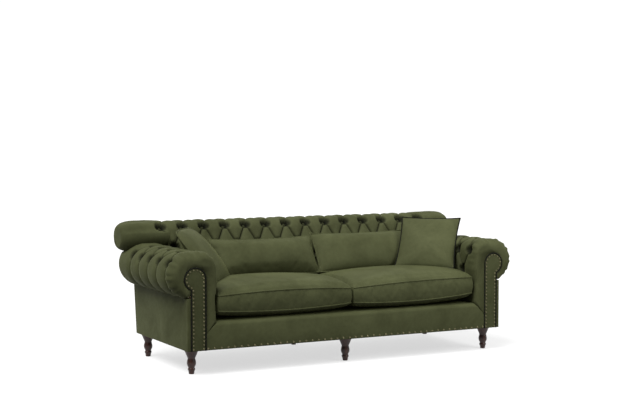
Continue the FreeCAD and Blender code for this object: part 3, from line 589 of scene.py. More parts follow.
def back_surface(v):
    """Place and outward direction in (y, z) on the smooth back at a path length."""
    if v <= BACK_RUN:
        return (FOOT_Y + v * math.sin(RAKE), SEAT_LEVEL + v * math.cos(RAKE),
                -math.cos(RAKE), math.sin(RAKE))
    v -= BACK_RUN
    if v <= BACK_TURN:
        angle = math.pi - RAKE - v / ROLL_RADIUS
        return (*arc_point(ROLL_FRONT_Y, angle), math.cos(angle), math.sin(angle))
    v -= BACK_TURN
    if v <= ROLL_CROWN:
        return ROLL_FRONT_Y + v, ROLL_Z + ROLL_RADIUS, 0.0, 1.0
    angle = math.pi / 2 - (v - ROLL_CROWN) / ROLL_RADIUS
    return (*arc_point(ROLL_REAR_Y, angle), math.cos(angle), math.sin(angle))


def outside_back_y(z):
    """How far back the outside cover stands at a height."""
    return OUTSIDE_FOOT_Y + OUTSIDE_RUN * (z - LEG_TOP) / OUTSIDE_HEIGHT


def roll_size(x):
    """Share of its full size that the roll keeps near its rounded end."""
    share = np.clip((abs(x) - (HALF_LENGTH - END_ROUND)) / END_ROUND, 0.0, 1.0)
    return END_FACE + (1.0 - END_FACE) * math.sqrt(1.0 - share ** 3)


def back_rings():
    s = bpy.context.scene.sofa_tufts
    n = CELLS
    lip = BACK_ROWS[1] + (BACK_ROWS[2] - BACK_ROWS[1]) * (n - 4) / n
    stations = cell_steps(0.0, [(BACK_ROWS[0], n), (BACK_ROWS[1], n), (BACK_ROWS[2], n), (BACK_ROWS[3], n),
                                (BACK_PATH, n + 6)])
    split = int(np.argmin(abs(stations - lip)))
    step = PITCH / 2 / n
    half = [k * step for k in range(int((HALF_LENGTH - END_ROUND) / step) + 1)]
    half += [HALF_LENGTH - END_ROUND * (1.0 - math.sin(math.pi / 2 * k / 18)) for k in range(1, 19)]
    columns = np.array([-x for x in reversed(half[1:])] + half)
    counts = (UPPER_BUTTONS - 2, UPPER_BUTTONS - 1, UPPER_BUTTONS, UPPER_BUTTONS - 1)
    first = [-(c - 1) * PITCH / 2 for c in counts]
    rows = button_plan(BACK_ROWS, counts, first, (s.back_pit, s.back_pit, s.back_pit * 0.8, s.pleat))
    pleats = pleat_plan(rows, s.pleat, 0.0, BACK_PATH, 0.2)
    middle = (BACK_ROWS[2] + BACK_ROWS[3]) / 2
    for u, v, _ in (rows[2][0], rows[2][-1]):
        pleats.append(((u, v, s.pleat), (u, middle, 0.0)))
    u, v = np.meshgrid(columns, stations, indexing="ij")
    drop = pleat_field(u, v, pleats, [b for row in rows for b in row], s)
    drop *= 1.0 - 0.55 * np.exp(-((v - 0.612) / 0.035) ** 2)
    drop += 0.0007 * np.sin(23.0 * u + 1.3) * np.sin(31.0 * v + 0.4)
    drop += 0.0004 * np.sin(71.0 * u) * np.sin(53.0 * v)
    surface = np.array([back_surface(at) for at in stations])
    closing = [(outside_back_y(OUTSIDE_TOP), OUTSIDE_TOP), (FOOT_Y + PAD_DEPTH + PAD_RUN, OUTSIDE_TOP),
               (FOOT_Y + PAD_DEPTH, PAD_FOOT_Z)]
    centre = np.array([(ROLL_FRONT_Y + ROLL_REAR_Y) / 2, ROLL_Z])
    rings = np.zeros((len(columns), len(stations) + len(closing), 3))
    # Painted shade per point: darker down the pleats and in the pits, where shade falls
    painted_shade = np.zeros(rings.shape[:2])
    tuck = -BACK_TUCK
    under = [tuck - (math.pi + RAKE - BACK_TUCK) * k / split for k in range(split)]
    for i, x in enumerate(columns):
        at = surface[:, :2] - surface[:, 2:] * drop[i][:, None]
        if abs(x) > HALF_SEAT - 0.0005:
            away = max(0.0, (abs(x) - 0.935) / (HALF_LENGTH - 0.935))
            gathers = 0.0042 * math.sin(math.pi * min(1.0, away)) ** 0.7 if away > 0 else 0.0
            ripple = gathers * np.cos(stations / ROLL_RADIUS * 7.0 + 0.8 * math.copysign(1, x))
            at = at - surface[:, 2:] * ripple[:, None]
            low = []
            for angle in under:
                blend = clamped((-math.pi / 2 - angle) / 0.4 + 0.5)
                low.append(arc_point(ROLL_REAR_Y + (ROLL_FRONT_Y - ROLL_REAR_Y) * blend, angle))
            first_low = np.array(low[0])
            steps = len(closing) + 1
            inner = [at[-1] + (first_low - at[-1]) * (k + 1) / steps for k in range(len(closing))]
            at = np.vstack([np.array(low), at[split:], np.array(inner)])
            at = centre + (at - centre) * roll_size(x)
            painted_shade[i, split:len(stations)] = painted_shade_amount(drop[i, split:], s)
        else:
            at = np.vstack([at, np.array(closing)])
            painted_shade[i, :len(stations)] = painted_shade_amount(drop[i], s)
        rings[i, :, 0] = x
        rings[i, :, 1:] = at
    cell_of_column = [math.floor(round(c / step) / n) if abs(c) < HALF_LENGTH - END_ROUND else 0
                      for c in columns[:-1]]
    cell_of_row = [None if k < n or k >= 4 * n else k // n - 1 for k in range(len(stations) + len(closing))]
    places = []
    for row in rows:
        for u0, v0, depth in row:
            y, z, ny, nz = back_surface(v0)
            sunk = depth - BUTTON_RISE
            places.append(((u0, y - ny * sunk, z - nz * sunk), (0.0, ny, nz)))
    return rings, painted_shade, cell_of_column, cell_of_row, places


def painted_shade_amount(drop, settings):
    """How much painted shade darkens the velvet at a depth: from none on the crown to one in a pit."""
    return np.interp(drop / settings.pleat, (0.45, 1.25, 1.45, 1.7, 2.0), (0.0, 0.9, 0.7, 0.9, 1.0))


ARM_RISE = ARM_TOP - CROWN_RADIUS - SEAT_LEVEL
ARM_RUN = math.hypot(ARM_LEAN, ARM_RISE)
CROWN_X = HALF_SEAT + ARM_LEAN + CROWN_RADIUS
ARM_FLAT = ARM_CENTRE_X - CROWN_X
ARM_TURN = math.pi / 2 * CROWN_RADIUS
ARM_PATH = ARM_RUN + ARM_TURN + ARM_FLAT + (math.pi / 2 + ARM_TUCK) * ARM_RADIUS


def arm_surface(v):
    """Place and outward direction in (x, z) on the smooth right arm at a path length."""
    if v <= ARM_RUN:
        slope = math.atan2(ARM_LEAN, ARM_RISE)
        return (HALF_SEAT + ARM_LEAN * v / ARM_RUN, SEAT_LEVEL + ARM_RISE * v / ARM_RUN, -math.cos(slope),
                math.sin(slope))
    v -= ARM_RUN
    if v <= ARM_TURN:
        angle = math.pi - v / CROWN_RADIUS
        return (CROWN_X + CROWN_RADIUS * math.cos(angle),
                ARM_TOP - CROWN_RADIUS + CROWN_RADIUS * math.sin(angle), math.cos(angle), math.sin(angle))
    v -= ARM_TURN
    if v <= ARM_FLAT:
        return CROWN_X + v, ARM_TOP, 0.0, 1.0
    angle = math.pi / 2 - (v - ARM_FLAT) / ARM_RADIUS
    return (ARM_CENTRE_X + ARM_RADIUS * math.cos(angle), ARM_CENTRE_Z + ARM_RADIUS * math.sin(angle),
            math.cos(angle), math.sin(angle))


def arm_inset(y):
    front = 1.0 - min(1.0, (y - FACING_Y) / FRONT_ROUND)
    rear = 1.0 - min(1.0, (ARM_REAR_Y - y) / REAR_ROUND)
    return (FRONT_SWELL * (1.0 - math.sqrt(max(0.0, 1.0 - front ** 2)))
            + REAR_SWELL * (1.0 - math.sqrt(max(0.0, 1.0 - rear ** 2))))


def under_roll(y):
    centre = min(max(y, ROLL_FRONT_Y), ROLL_REAR_Y)
    aside = abs(y - centre)
    if aside >= ROLL_RADIUS:
        return 1.0
    return ROLL_Z - math.sqrt(ROLL_RADIUS ** 2 - aside ** 2) - 0.0005


def raked(y, z):
    start = FIRST_BUTTON_Y + (ARM_BUTTONS - 1) * PITCH
    end = outside_back_y(z) - 0.008
    return y if y <= start else start + (y - start) * (end - start) / (ARM_REAR_Y - start)


def keyhole(steps, inset=0.0, bottom=LEG_TOP):
    """The arm facing's outline in (x, z), from its inner foot over its round head to its outer foot."""
    radius = FACING_RADIUS - inset
    inner, outer = FACING_X - FACING_RADIUS + inset, FACING_X - FACING_RADIUS + FACING_COLUMN - inset
    end = -math.acos((outer - FACING_X) / radius)
    line = [(inner, bottom + (FACING_Z - bottom) * k / steps) for k in range(steps)]
    line += [(FACING_X + radius * math.cos(math.pi + (end - math.pi) * k / (2 * steps)),
              FACING_Z + radius * math.sin(math.pi + (end - math.pi) * k / (2 * steps)))
             for k in range(2 * steps + 1)]
    neck = FACING_Z + radius * math.sin(end)
    return line + [(outer, neck + (bottom - neck) * (k + 1) / steps) for k in range(steps)]


def arm_rings(sign):
    s = bpy.context.scene.sofa_tufts
    n = CELLS
    stations = cell_steps(0.0, [(ARM_ROWS[0], n), (ARM_ROWS[1], n), (ARM_ROWS[2], n), (ARM_ROWS[3], n),
                                (ARM_PATH, n + 10)])
    step = PITCH / 2 / n
    front = [FACING_Y + FRONT_ROUND * (1.0 - math.cos(math.pi / 2 * k / 14)) for k in range(14)]
    first = math.ceil((FACING_Y + FRONT_ROUND - FIRST_BUTTON_Y) / step)
    last = math.floor((ARM_REAR_Y - REAR_ROUND - FIRST_BUTTON_Y) / step)
    rear = [ARM_REAR_Y - REAR_ROUND * (1.0 - math.cos(math.pi / 2 * k / 8)) for k in range(7, -1, -1)]
    columns = front + [FIRST_BUTTON_Y + k * step for k in range(first, last + 1)] + rear
    counts = (ARM_BUTTONS - 1, ARM_BUTTONS, ARM_BUTTONS - 1, ARM_BUTTONS)
    starts = [FIRST_BUTTON_Y + (PITCH / 2 if c == ARM_BUTTONS - 1 else 0.0) for c in counts]
    rows = button_plan(ARM_ROWS, counts, starts, (s.arm_pit,) * 4)
    pleats = pleat_plan(rows, s.pleat * 1.05, 0.0, ARM_PATH, 1.15)
    u0, v0, _ = rows[1][0]
    pleats.append(((u0, v0, s.pleat), (FACING_Y, v0 - PITCH / 4, 0.0)))
    u, v = np.meshgrid(np.array(columns), stations, indexing="ij")
    drop = pleat_field(u, v, pleats, [b for row in rows for b in row], s)
    drop += 0.0007 * np.sin(27.0 * u + 2.3) * np.sin(29.0 * v + 1.4)
    surface = np.array([arm_surface(at) for at in stations])
    core = [(x, max(z, 0.233)) for x, z in keyhole(8, 0.0, 0.233)]
    tuck_z = surface[-1][1]
    core = [(x, z) for x, z in core if not (x > FACING_X and z < tuck_z)]
    core = core[::-1]
    count = len(stations) + len(core)
    rings = np.zeros((len(columns), count, 3))
    # Painted shade per point: darker down the pleats and in the pits, where shade falls
    painted_shade = np.zeros(rings.shape[:2])
    for i, y in enumerate(columns):
        painted_shade[i, :len(stations)] = painted_shade_amount(drop[i], s)
        inset = arm_inset(y)
        fade = 1.0 - inset / FRONT_SWELL
        front_share = max(0.0, 1.0 - (y - FACING_Y) / 0.085)
        swell = math.sin(math.pi * min(1.0, front_share * 1.05)) if front_share > 0 else 0.0
        gathers = 0.0058 * swell ** 0.8
        bulge = 0.020 * math.exp(-((y - FACING_Y) / 0.16) ** 2)
        for k, (x, z, nx, nz) in enumerate(surface):
            inner = clamped(1.0 - (stations[k] - ARM_RUN) / (ARM_TURN + 0.02))
            above = clamped((stations[k] - 0.13) / 0.08)
            ripple = gathers * (0.6 * math.cos(stations[k] * 2 * math.pi / 0.047)
                                + 0.4 * math.cos(stations[k] * 2 * math.pi / 0.031 + 1.0))
            ripple *= clamped((stations[k] - 0.22) / 0.1)
            tight = 0.022 * (1.0 - math.sqrt(max(0.0, 1.0 - max(0.0, 1.0 - (y - FACING_Y) / 0.032) ** 2)))
            drawn = inset + (tight - inset) * inner if y < 0.0 else inset
            drawn *= 1.0 - 0.85 * clamped((stations[k] - ARM_PATH + 0.11) / 0.11) ** 2
            sink = drop[i][k] * fade + drawn + ripple - bulge * inner * above
            px, pz = x - nx * sink, z - nz * sink
            for _ in range(3):
                pz = min(pz, under_roll(raked(y, pz)))
            rings[i, k] = (sign * px, raked(y, pz), pz)
        for k, (x, z) in enumerate(core):
            rings[i, len(stations) + k] = (sign * x, raked(y, z), z)
    cell_of_column = [math.floor(round((y - FIRST_BUTTON_Y) / step) / n) for y in columns[:-1]]
    cell_of_row = [None if k < n or k >= 4 * n else k // n - 1 for k in range(count)]
    places = []
    for row in rows:
        for bu, bv, depth in row:
            x, z, nx, nz = arm_surface(bv)
            sunk = depth - BUTTON_RISE
            places.append(((sign * (x - nx * sunk), bu, z - nz * sunk), (sign * nx, 0.0, nz)))
    return rings, painted_shade, cell_of_column, cell_of_row, places


def capped_ball(radius, segments, rings, cut, squash, smooth):
    """A flattened ball with its back cut off."""
    bpy.ops.object.select_all(action="DESELECT")
    bpy.ops.mesh.primitive_uv_sphere_add(segments=segments, ring_count=rings, radius=radius,
                                         location=(0, 0, 0))
    obj = bpy.context.object
    bpy.ops.object.mode_set(mode="EDIT")
    bpy.ops.mesh.select_all(action="SELECT")
    bpy.ops.mesh.bisect(plane_co=(0, 0, cut), plane_no=(0, 0, 1), use_fill=True, clear_inner=True)
    bpy.ops.mesh.select_all(action="SELECT")
    bpy.ops.transform.resize(value=(1.0, 1.0, squash))
    bpy.ops.object.mode_set(mode="OBJECT")
    bpy.ops.object.shade_smooth_by_angle(angle=math.radians(smooth))
    return obj


def button_template():
    return capped_ball(0.011, 18, 10, 0.0012, 0.62, 60.0)


def nail_template(radius):
    return capped_ball(radius, 14, 8, 0.0, 0.55, 50.0)


# Cushions

def superellipse(a, b, power):
    return np.maximum(0.0, (1.0 - a ** 2) * (1.0 - b ** 2)) ** power


def crowded_grid(na, nb):
    """Places from -1 to 1 both ways, closer together towards the edges."""
    turn = math.pi / 2 * 0.9
    lines = [np.sin(np.linspace(-1, 1, count) * turn) / math.sin(turn) for count in (na, nb)]
    return np.meshgrid(*lines, indexing="ij")


def rim_of(na, nb):
    """The grid places round a face's edge, in order."""
    rim = [(i, 0) for i in range(na)] + [(na - 1, j) for j in range(1, nb)]
    return rim + [(i, nb - 1) for i in range(na - 2, -1, -1)] + [(0, j) for j in range(nb - 2, 0, -1)]


def grid_cushion(name, top, bottom, wall_rows):
    """Two gridded faces closed by a wall, with the rows of its two seams in a vertex group."""
    na, nb, _ = top.shape
    rim = rim_of(na, nb)
    points = [tuple(p) for p in top.reshape(-1, 3)]
    index_top = {(i, j): i * nb + j for i in range(na) for j in range(nb)}
    index_bottom = {}
    for i in range(na):
        for j in range(nb):
            if wall_rows is None and (i in (0, na - 1) or j in (0, nb - 1)):
                index_bottom[i, j] = index_top[i, j]
            else:
                index_bottom[i, j] = len(points)
                points.append(tuple(bottom[i, j]))
    faces = []
    for i in range(na - 1):
        for j in range(nb - 1):
            faces.append(tuple(index_top[q] for q in ((i, j), (i + 1, j), (i + 1, j + 1), (i, j + 1))))
            faces.append(tuple(index_bottom[q] for q in ((i, j + 1), (i + 1, j + 1), (i + 1, j), (i, j))))
    seams = [index_top[q] for q in rim]
    if wall_rows is not None:
        seams += [index_bottom[q] for q in rim]
        previous = [index_top[q] for q in rim]
        for row in wall_rows(rim):
            current = list(range(len(points), len(points) + len(rim)))
            points += [tuple(p) for p in row]
            faces += wall_faces(previous, current)
            previous = current
        faces += wall_faces(previous, [index_bottom[q] for q in rim])
    obj = add_mesh(name, points, faces)
    group = obj.vertex_groups.new(name="Seams")
    group.add(sorted(set(seams)), 1.0, "REPLACE")
    return obj


def wall_faces(upper, lower):
    n = len(upper)
    return [(upper[k], lower[k], lower[(k + 1) % n], upper[(k + 1) % n]) for k in range(n)]


def settled(obj, cap):
    """Lets the filling push the cover out from its seams, then keeps the result in the mesh."""
    s = bpy.context.scene.sofa_cushions
    scene = bpy.context.scene
    start = np.array([v.co[:] for v in obj.data.vertices])
    cloth = obj.modifiers.new("Cover", "CLOTH")
    cloth.settings.quality = 5
    cloth.settings.mass = 0.3
    cloth.settings.use_pressure = True
    cloth.settings.uniform_pressure_force = s.pressure
    cloth.settings.shrink_min = -s.slack
    cloth.settings.shrink_max = -s.slack
    cloth.settings.tension_stiffness = 25.0
    cloth.settings.compression_stiffness = 25.0
    cloth.settings.bending_stiffness = 0.6
    cloth.settings.vertex_group_mass = "Seams"
    cloth.settings.effector_weights.gravity = 0.0
    cloth.collision_settings.use_collision = False
    cloth.point_cache.frame_start = 1
    cloth.point_cache.frame_end = s.frames
    for at in range(1, s.frames + 1):
        scene.frame_set(at)
    evaluated = obj.evaluated_get(bpy.context.evaluated_depsgraph_get())
    moved = np.array([v.co[:] for v in evaluated.data.vertices])
    obj.modifiers.remove(cloth)
    scene.frame_set(1)
    step = moved - start
    length = np.linalg.norm(step, axis=1)
    scale = np.minimum(1.0, cap / np.maximum(length, 1e-9))
    obj.data.vertices.foreach_set("co", (start + step * scale[:, None]).ravel())
    obj.data.update()
    smooth = obj.modifiers.new("Smooth", "SUBSURF")
    smooth.levels = smooth.render_levels = 1
    only(obj)
    bpy.ops.object.modifier_apply(modifier="Smooth")
    return obj


def seat_cushion(side):
    low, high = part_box("seat_cushion_" + side)
    cx, cy = (low[0] + high[0]) / 2, (low[1] + high[1]) / 2
    hx, hy = (high[0] - low[0]) / 2 - 0.001, (high[1] - low[1]) / 2 - 0.001
    lower_seam, upper_seam, crown = 0.358, 0.445, 0.078
    na, nb = 84, 56
    a, b = crowded_grid(na, nb)

    def plan(a, b):
        corner = np.clip(np.abs(a) ** 14 * np.abs(b) ** 14, 0, 1) * 0.005
        return (cx + a * (hx - 0.002 * b ** 2 - corner), cy + b * (hy - 0.003 * a ** 2 - corner))

    bow = 0.016 * ((1 - a ** 2) * b ** 4 + (1 - b ** 2) * a ** 4)
    dome = superellipse(a, b, 0.40)
    lift = (0.011 if side == "right" else 0.0) * ((a + 1) / 2) ** 2
    x, y = plan(a, b)
    above = upper_seam + 2.0 * lift * (1.0 - 0.6 * dome) + bow + (crown - 0.004) * dome
    seam = lower_seam + lift
    belly = np.maximum(SEAT_LEVEL + 0.001, seam - bow - (seam - SEAT_LEVEL - 0.0005) * dome)
    top = np.stack([x, y, above], axis=-1)
    bottom = np.stack([x, y, belly], axis=-1)

    def wall_rows(rim):
        rows = 11
        for k in range(1, rows):
            share = k / rows
            line = []
            for i, j in rim:
                upper, lower = top[i, j], bottom[i, j]
                out = 0.006 * math.sin(math.pi * share)
                px, py = upper[0], upper[1]
                ex = math.copysign(1, a[i, j]) * (abs(a[i, j]) > 0.999)
                ey = math.copysign(1, b[i, j]) * (abs(b[i, j]) > 0.999)
                line.append((px + ex * out * 0.35, py + ey * out, upper[2] + (lower[2] - upper[2]) * share))
            yield line

    cover = grid_cushion("Seat_Cushion_" + side, top, bottom, wall_rows)
    rim = rim_of(na, nb)
    return cover, [top[q] for q in rim], [bottom[q] for q in rim]


def cover_middle(name):
    low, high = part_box(name)
    return (low[0] + high[0]) / 2


def kept_in_place(cover, name):
    """Keeps a seat cover flat on the deck and flat against its neighbours."""
    low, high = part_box(name)
    for vertex in cover.data.vertices:
        vertex.co.x = min(max(vertex.co.x, low[0] + 0.0008), high[0] - 0.0008)
        vertex.co.z = max(vertex.co.z, SEAT_LEVEL + 0.0008)


def knife_cushion(name, size, pulls, cells, ears=0.0):
    """A knife-edged cushion in its own upright frame, its corners rounded by a share, and its seam."""
    width, height, thick = size
    na, nb = cells
    a, b = crowded_grid(na, nb)
    x = a * width / 2 * (1 - pulls[0] * (1 - b ** 2))
    z = b * height / 2 * (1 - np.where(b > 0, pulls[1], min(0.0, pulls[1])) * (1 - a ** 2))
    corner = 1.0 - ears * (np.abs(a) * np.abs(b)) ** 5
    x, z = x * corner, z * corner
    swell = thick / 2 * superellipse(a, b, 0.5)
    front = np.stack([x, -swell, z], axis=-1)
    rear = np.stack([x, swell, z], axis=-1)
    cover = grid_cushion(name, front, rear, None)
    rim = rim_of(na, nb)
    return cover, [Vector(front[q]) for q in rim]


def stood(obj, place, turn, lean):
    """Turns a finished cushion about Z, leans it back and sets it down, all in its mesh."""
    turned = Matrix.Rotation(turn, 4, "Z") @ Matrix.Rotation(-lean, 4, "X")
    obj.data.transform(Matrix.Translation(Vector(place)) @ turned)
    obj.data.update()
    return obj


# Operators

class SOFA_OT_back(bpy.types.Operator):
    """Deep-buttoned back and its roll"""
    bl_idname = "sofa.back"
    bl_label = "Tufted Back"

    def execute(self, context):
        rings, painted_shade, columns, rows, places = back_rings()
        back = shell("Tufted_Back", rings, painted_shade, columns, rows)
        dressed(back, "frame", velvet(), ["back_pad"], "velvet")
        # Painted shade: the buttons are darkened as lying in the shade of their pits
        buttons = shaded(copies(button_template(), places, "Back_Buttons"), 0.6)
        dressed(buttons, "frame", velvet(), ["back_buttons"], "velvet")
        return {"FINISHED"}


class SOFA_OT_arms(bpy.types.Operator):
    """Deep-buttoned rolled arms"""
    bl_idname = "sofa.arms"
    bl_label = "Tufted Arms"

    def execute(self, context):
        places = []
        for side, sign in (("left", -1), ("right", 1)):
            rings, painted_shade, columns, rows, spots = arm_rings(sign)
            arm = shell("Tufted_Arm_" + side, rings, painted_shade, columns, rows)
            dressed(arm, "frame", velvet(), ["arm_pad_" + side], "velvet")
            places += spots
        # Painted shade: the buttons are darkened as lying in the shade of their pits
        buttons = shaded(copies(button_template(), places, "Arm_Buttons"), 0.6)
        dressed(buttons, "frame", velvet(), ["arm_buttons"], "velvet")
        return {"FINISHED"}


class SOFA_OT_seats(bpy.types.Operator):
    """Boxed and piped seat cushions"""
    bl_idname = "sofa.seats"
    bl_label = "Seat Cushions"

    def execute(self, context):
        radius = context.scene.sofa_cushions.piping
        for side in SIDES:
            cover, upper, lower = seat_cushion(side)
            settled(cover, SETTLED_BY)
            kept_in_place(cover, "seat_cushion_" + side)
            for line in (upper, lower):
                for point in line:
                    point[0] -= math.copysign(radius, point[0] - cover_middle("seat_cushion_" + side)) * 0.9
            body = "seat_" + side
            dressed(cover, body, velvet(), ["seat_cushion_" + side], "velvet")
            cords = [tube("Seat_Piping_upper_" + side, upper, radius),
                     tube("Seat_Piping_lower_" + side, lower, radius)]
            dressed(joined(cords, "Seat_Piping_" + side), body, velvet(), (), "velvet")
        return {"FINISHED"}


def loose_cushion(kind, side, outer, inner, pulls, ears, stand, radius):
    """A knife-edged cushion with its piping and its pad, stood in its place."""
    title, body = kind.capitalize(), kind + "_" + side
    cover, seam = knife_cushion(title + "_Cushion_" + side, outer[0], pulls, outer[1], ears)
    settled(cover, SETTLED_BY)
    piping = tube(title + "_Piping_" + side, seam, radius)
    pad, _ = knife_cushion(title + "_Pad_" + side, inner[0], pulls, inner[1], ears)
    for obj in (cover, piping, pad):
        stood(obj, *stand)
    dressed(pad, body, inner_pad(), [kind + "_pad_" + side], "filling")
    dressed(cover, body, velvet(), [kind + "_cushion_" + side], "velvet")
    return cover, piping


class SOFA_OT_loose(bpy.types.Operator):
    """Lumbar and scatter cushions"""
    bl_idname = "sofa.loose"
    bl_label = "Loose Cushions"

    def execute(self, context):
        radius = context.scene.sofa_cushions.piping
        for side in SIDES:
            left = side == "left"
            size = (LUMBAR_SIZE[0], LUMBAR_SIZE[1] - (LUMBAR_DROP if left else 0.0), LUMBAR_SIZE[2])
            small = [measure * 0.78 for measure in LUMBAR_SIZE]
            cover, piping = loose_cushion("lumbar", side, (size, (76, 34)), (small, (30, 16)), (0.028, 0.09),
                                          0.0, (LUMBARS[side], 0.0, LUMBAR_LEAN), radius)
            dressed(piping, "lumbar_" + side, velvet(), (), "velvet")
            pulls, ears = ((-0.02, -0.02), 0.085) if left else ((0.06, 0.05), 0.0)
            small = [measure * 0.76 for measure in SCATTER_SIZE]
            cover, piping = loose_cushion("scatter", side, (SCATTER_SIZE, (46, 46)), (small, (20, 20)), pulls,
                                          ears, SCATTERS[side], radius * 0.9)
            edge, slot = (velvet(), "velvet") if left else (dark_piping(), "dark_piping")
            dressed(piping, "scatter_" + side, edge, (), slot)
        return {"FINISHED"}


class SOFA_OT_covers(bpy.types.Operator):
    """Facings, border and outside covers"""
    bl_idname = "sofa.covers"
    bl_label = "Covers"

    def execute(self, context):
        plan = [("front_border", "Front_Border", 0.004), ("outside_back", "Outside_Back", 0.003)]
        plan += [("outside_arm_" + side, "Outside_Arm_" + side, 0.003) for side in SIDES]
        plan += [("arm_facing_" + side, "Arm_Facing_" + side, 0.0025) for side in SIDES]
        for name, title, width in plan:
            dressed(softened(name, title, width), "frame", velvet(), [name], "velvet")
        rake = math.atan2(outside_back_y(FLAP_TOP) - outside_back_y(FLAP_BOTTOM), FLAP_TOP - FLAP_BOTTOM)
        middle = (FLAP_TOP + FLAP_BOTTOM) / 2
        for sign, side in ((-1, "left"), (1, "right")):
            bpy.ops.object.select_all(action="DESELECT")
            bpy.ops.mesh.primitive_cube_add(size=1.0, rotation=(-rake, 0.0, 0.0),
                                            location=(sign * FLAP_X, outside_back_y(middle) - FLAP_SET_IN,
                                                      middle),
                                            scale=(FLAP_WIDTH, FLAP_THICK,
                                                   (FLAP_TOP - FLAP_BOTTOM) / math.cos(rake)))
            flap = context.object
            flap.name = "Rear_Flap_" + side
            bpy.ops.object.transform_apply(location=True, rotation=True, scale=True)
            dressed(flap, "frame", velvet(), (), "velvet")
        return {"FINISHED"}


class SOFA_OT_trim(bpy.types.Operator):
    """Facing piping and nail heads"""
    bl_idname = "sofa.trim"
    bl_label = "Piping and Nails"

    def execute(self, context):
        s = context.scene.sofa_trim
        cords = []
        for sign in (-1, 1):
            line = [(sign * x, FACING_Y - 0.0005, z) for x, z in keyhole(30, 0.002)]
            cords.append(tube("Facing_Piping", line, 0.0040, closed=False))
        dressed(joined(cords, "Facing_Piping"), "frame", dark_piping(), ["facing_piping"], "dark_piping")
        outline = [Vector((x, FACING_Y, z)) for x, z in keyhole(60, FACING_NAIL_EDGE, LEG_TOP + NAIL_EDGE)]
        places = [(Vector((sign * p.x, p.y, p.z)), (0, -1, 0)) for p in spaced(outline, s.facing_pitch)
                  for sign in (-1, 1)]
        nails = copies(nail_template(s.nail_radius * 0.9), places, "Facing_Nails")
        dressed(nails, "frame", nail_metal(), ["facing_nails"], "nail_brass")
        half, high = HALF_BORDER - NAIL_EDGE, LEG_TOP + NAIL_EDGE
        outline = [Vector((-half, FACING_Y, high)), Vector((half, FACING_Y, high))]
        places = [(p, (0, -1, 0)) for p in spaced(outline, s.border_pitch)]
        nails = copies(nail_template(s.nail_radius), places, "Border_Nails")
        dressed(nails, "frame", nail_metal(), ["border_nails"], "nail_brass")
        return {"FINISHED"}


def spaced(line, pitch):
    """Points at even distances along a line, both ends included."""
    lengths = [0.0]
    for p, q in zip(line, line[1:]):
        lengths.append(lengths[-1] + (q - p).length)
    count = round(lengths[-1] / pitch)
    made, k = [], 0
    for i in range(count + 1):
        at = lengths[-1] * i / count
        while k < len(line) - 2 and lengths[k + 1] < at:
            k += 1
        share = (at - lengths[k]) / (lengths[k + 1] - lengths[k])
        made.append(line[k].lerp(line[k + 1], share))
    return made


LEG_PROFILE = ((0.040, 0.142), (0.040, 0.133), (0.0385, 0.1295), (0.0365, 0.127), (0.0345, 0.122),
               (0.0315, 0.114), (0.0275, 0.105), (0.0240, 0.097), (0.0220, 0.091), (0.0218, 0.0875),
               (0.0232, 0.082), (0.0252, 0.075), (0.0264, 0.067), (0.0264, 0.060), (0.0250, 0.053),
               (0.0224, 0.047), (0.0196, 0.042), (0.0182, 0.037), (0.0184, 0.034), (0.0206, 0.0315),
               (0.0214, 0.028), (0.0210, 0.0235), (0.0192, 0.0205), (0.0178, 0.018), (0.0168, 0.012),
               (0.0155, 0.004), (0.0145, 0.0))


class SOFA_OT_legs(bpy.types.Operator):
    """Turned legs"""
    bl_idname = "sofa.legs"
    bl_label = "Turned Legs"

    def execute(self, context):
        for row, y in LEG_ROWS:
            legs = [turned_leg(x, y) for x in (-LEG_SPACING, 0.0, LEG_SPACING)]
            dressed(joined(legs, "Turned_Legs_" + row), "frame", polished_wood(), ["legs_" + row], "walnut")
        return {"FINISHED"}


def turned_leg(x, y):
    """One foot, drawn down from its cap ring by ring."""
    bpy.ops.object.select_all(action="DESELECT")
    radius, top = LEG_PROFILE[0]
    bpy.ops.mesh.primitive_circle_add(vertices=48, radius=radius, fill_type="NGON", location=(x, y, top))
    obj = bpy.context.object
    bpy.ops.object.mode_set(mode="EDIT")
    bpy.ops.mesh.select_all(action="SELECT")
    for wide, high in LEG_PROFILE[1:]:
        bpy.ops.mesh.extrude_region_move(TRANSFORM_OT_translate={"value": (0, 0, high - top)})
        bpy.ops.transform.resize(value=(wide / radius, wide / radius, 1.0), center_override=(x, y, high))
        radius, top = wide, high
    bpy.ops.mesh.select_all(action="SELECT")
    bpy.ops.mesh.normals_make_consistent(inside=False)
    bpy.ops.object.mode_set(mode="OBJECT")
    bpy.ops.object.shade_smooth_by_angle(angle=math.radians(42.0))
    return obj


class SOFA_OT_frame(bpy.types.Operator):
    """Finishes of the timber, webbing, deck and inner pads"""
    bl_idname = "sofa.frame"
    bl_label = "Frame Finishes"

    def execute(self, context):
        finishes = {
            "frame_timber": timber,
            "webbing": lambda: plain_cloth("Jute Webbing", (0.22, 0.15, 0.08), (0.42, 0.31, 0.18), 180.0),
            "under_cloth": lambda: plain_cloth("Under Cloth", (0.008, 0.008, 0.008), (0.03, 0.03, 0.03),
                                               500.0),
            "deck_cloth": velvet,
            "filling": inner_pad,
            "steel": zinc,
            "velvet": velvet,
            "walnut": polished_wood,
            "nail_brass": nail_metal,
            "dark_piping": dark_piping,
        }
        for part in frame["record"]["subparts"]:
            obj = frame["nodes"][part["node"]]
            obj.data.materials.clear()
            obj.data.materials.append(finishes[part["material_slot"]]())
        return {"FINISHED"}


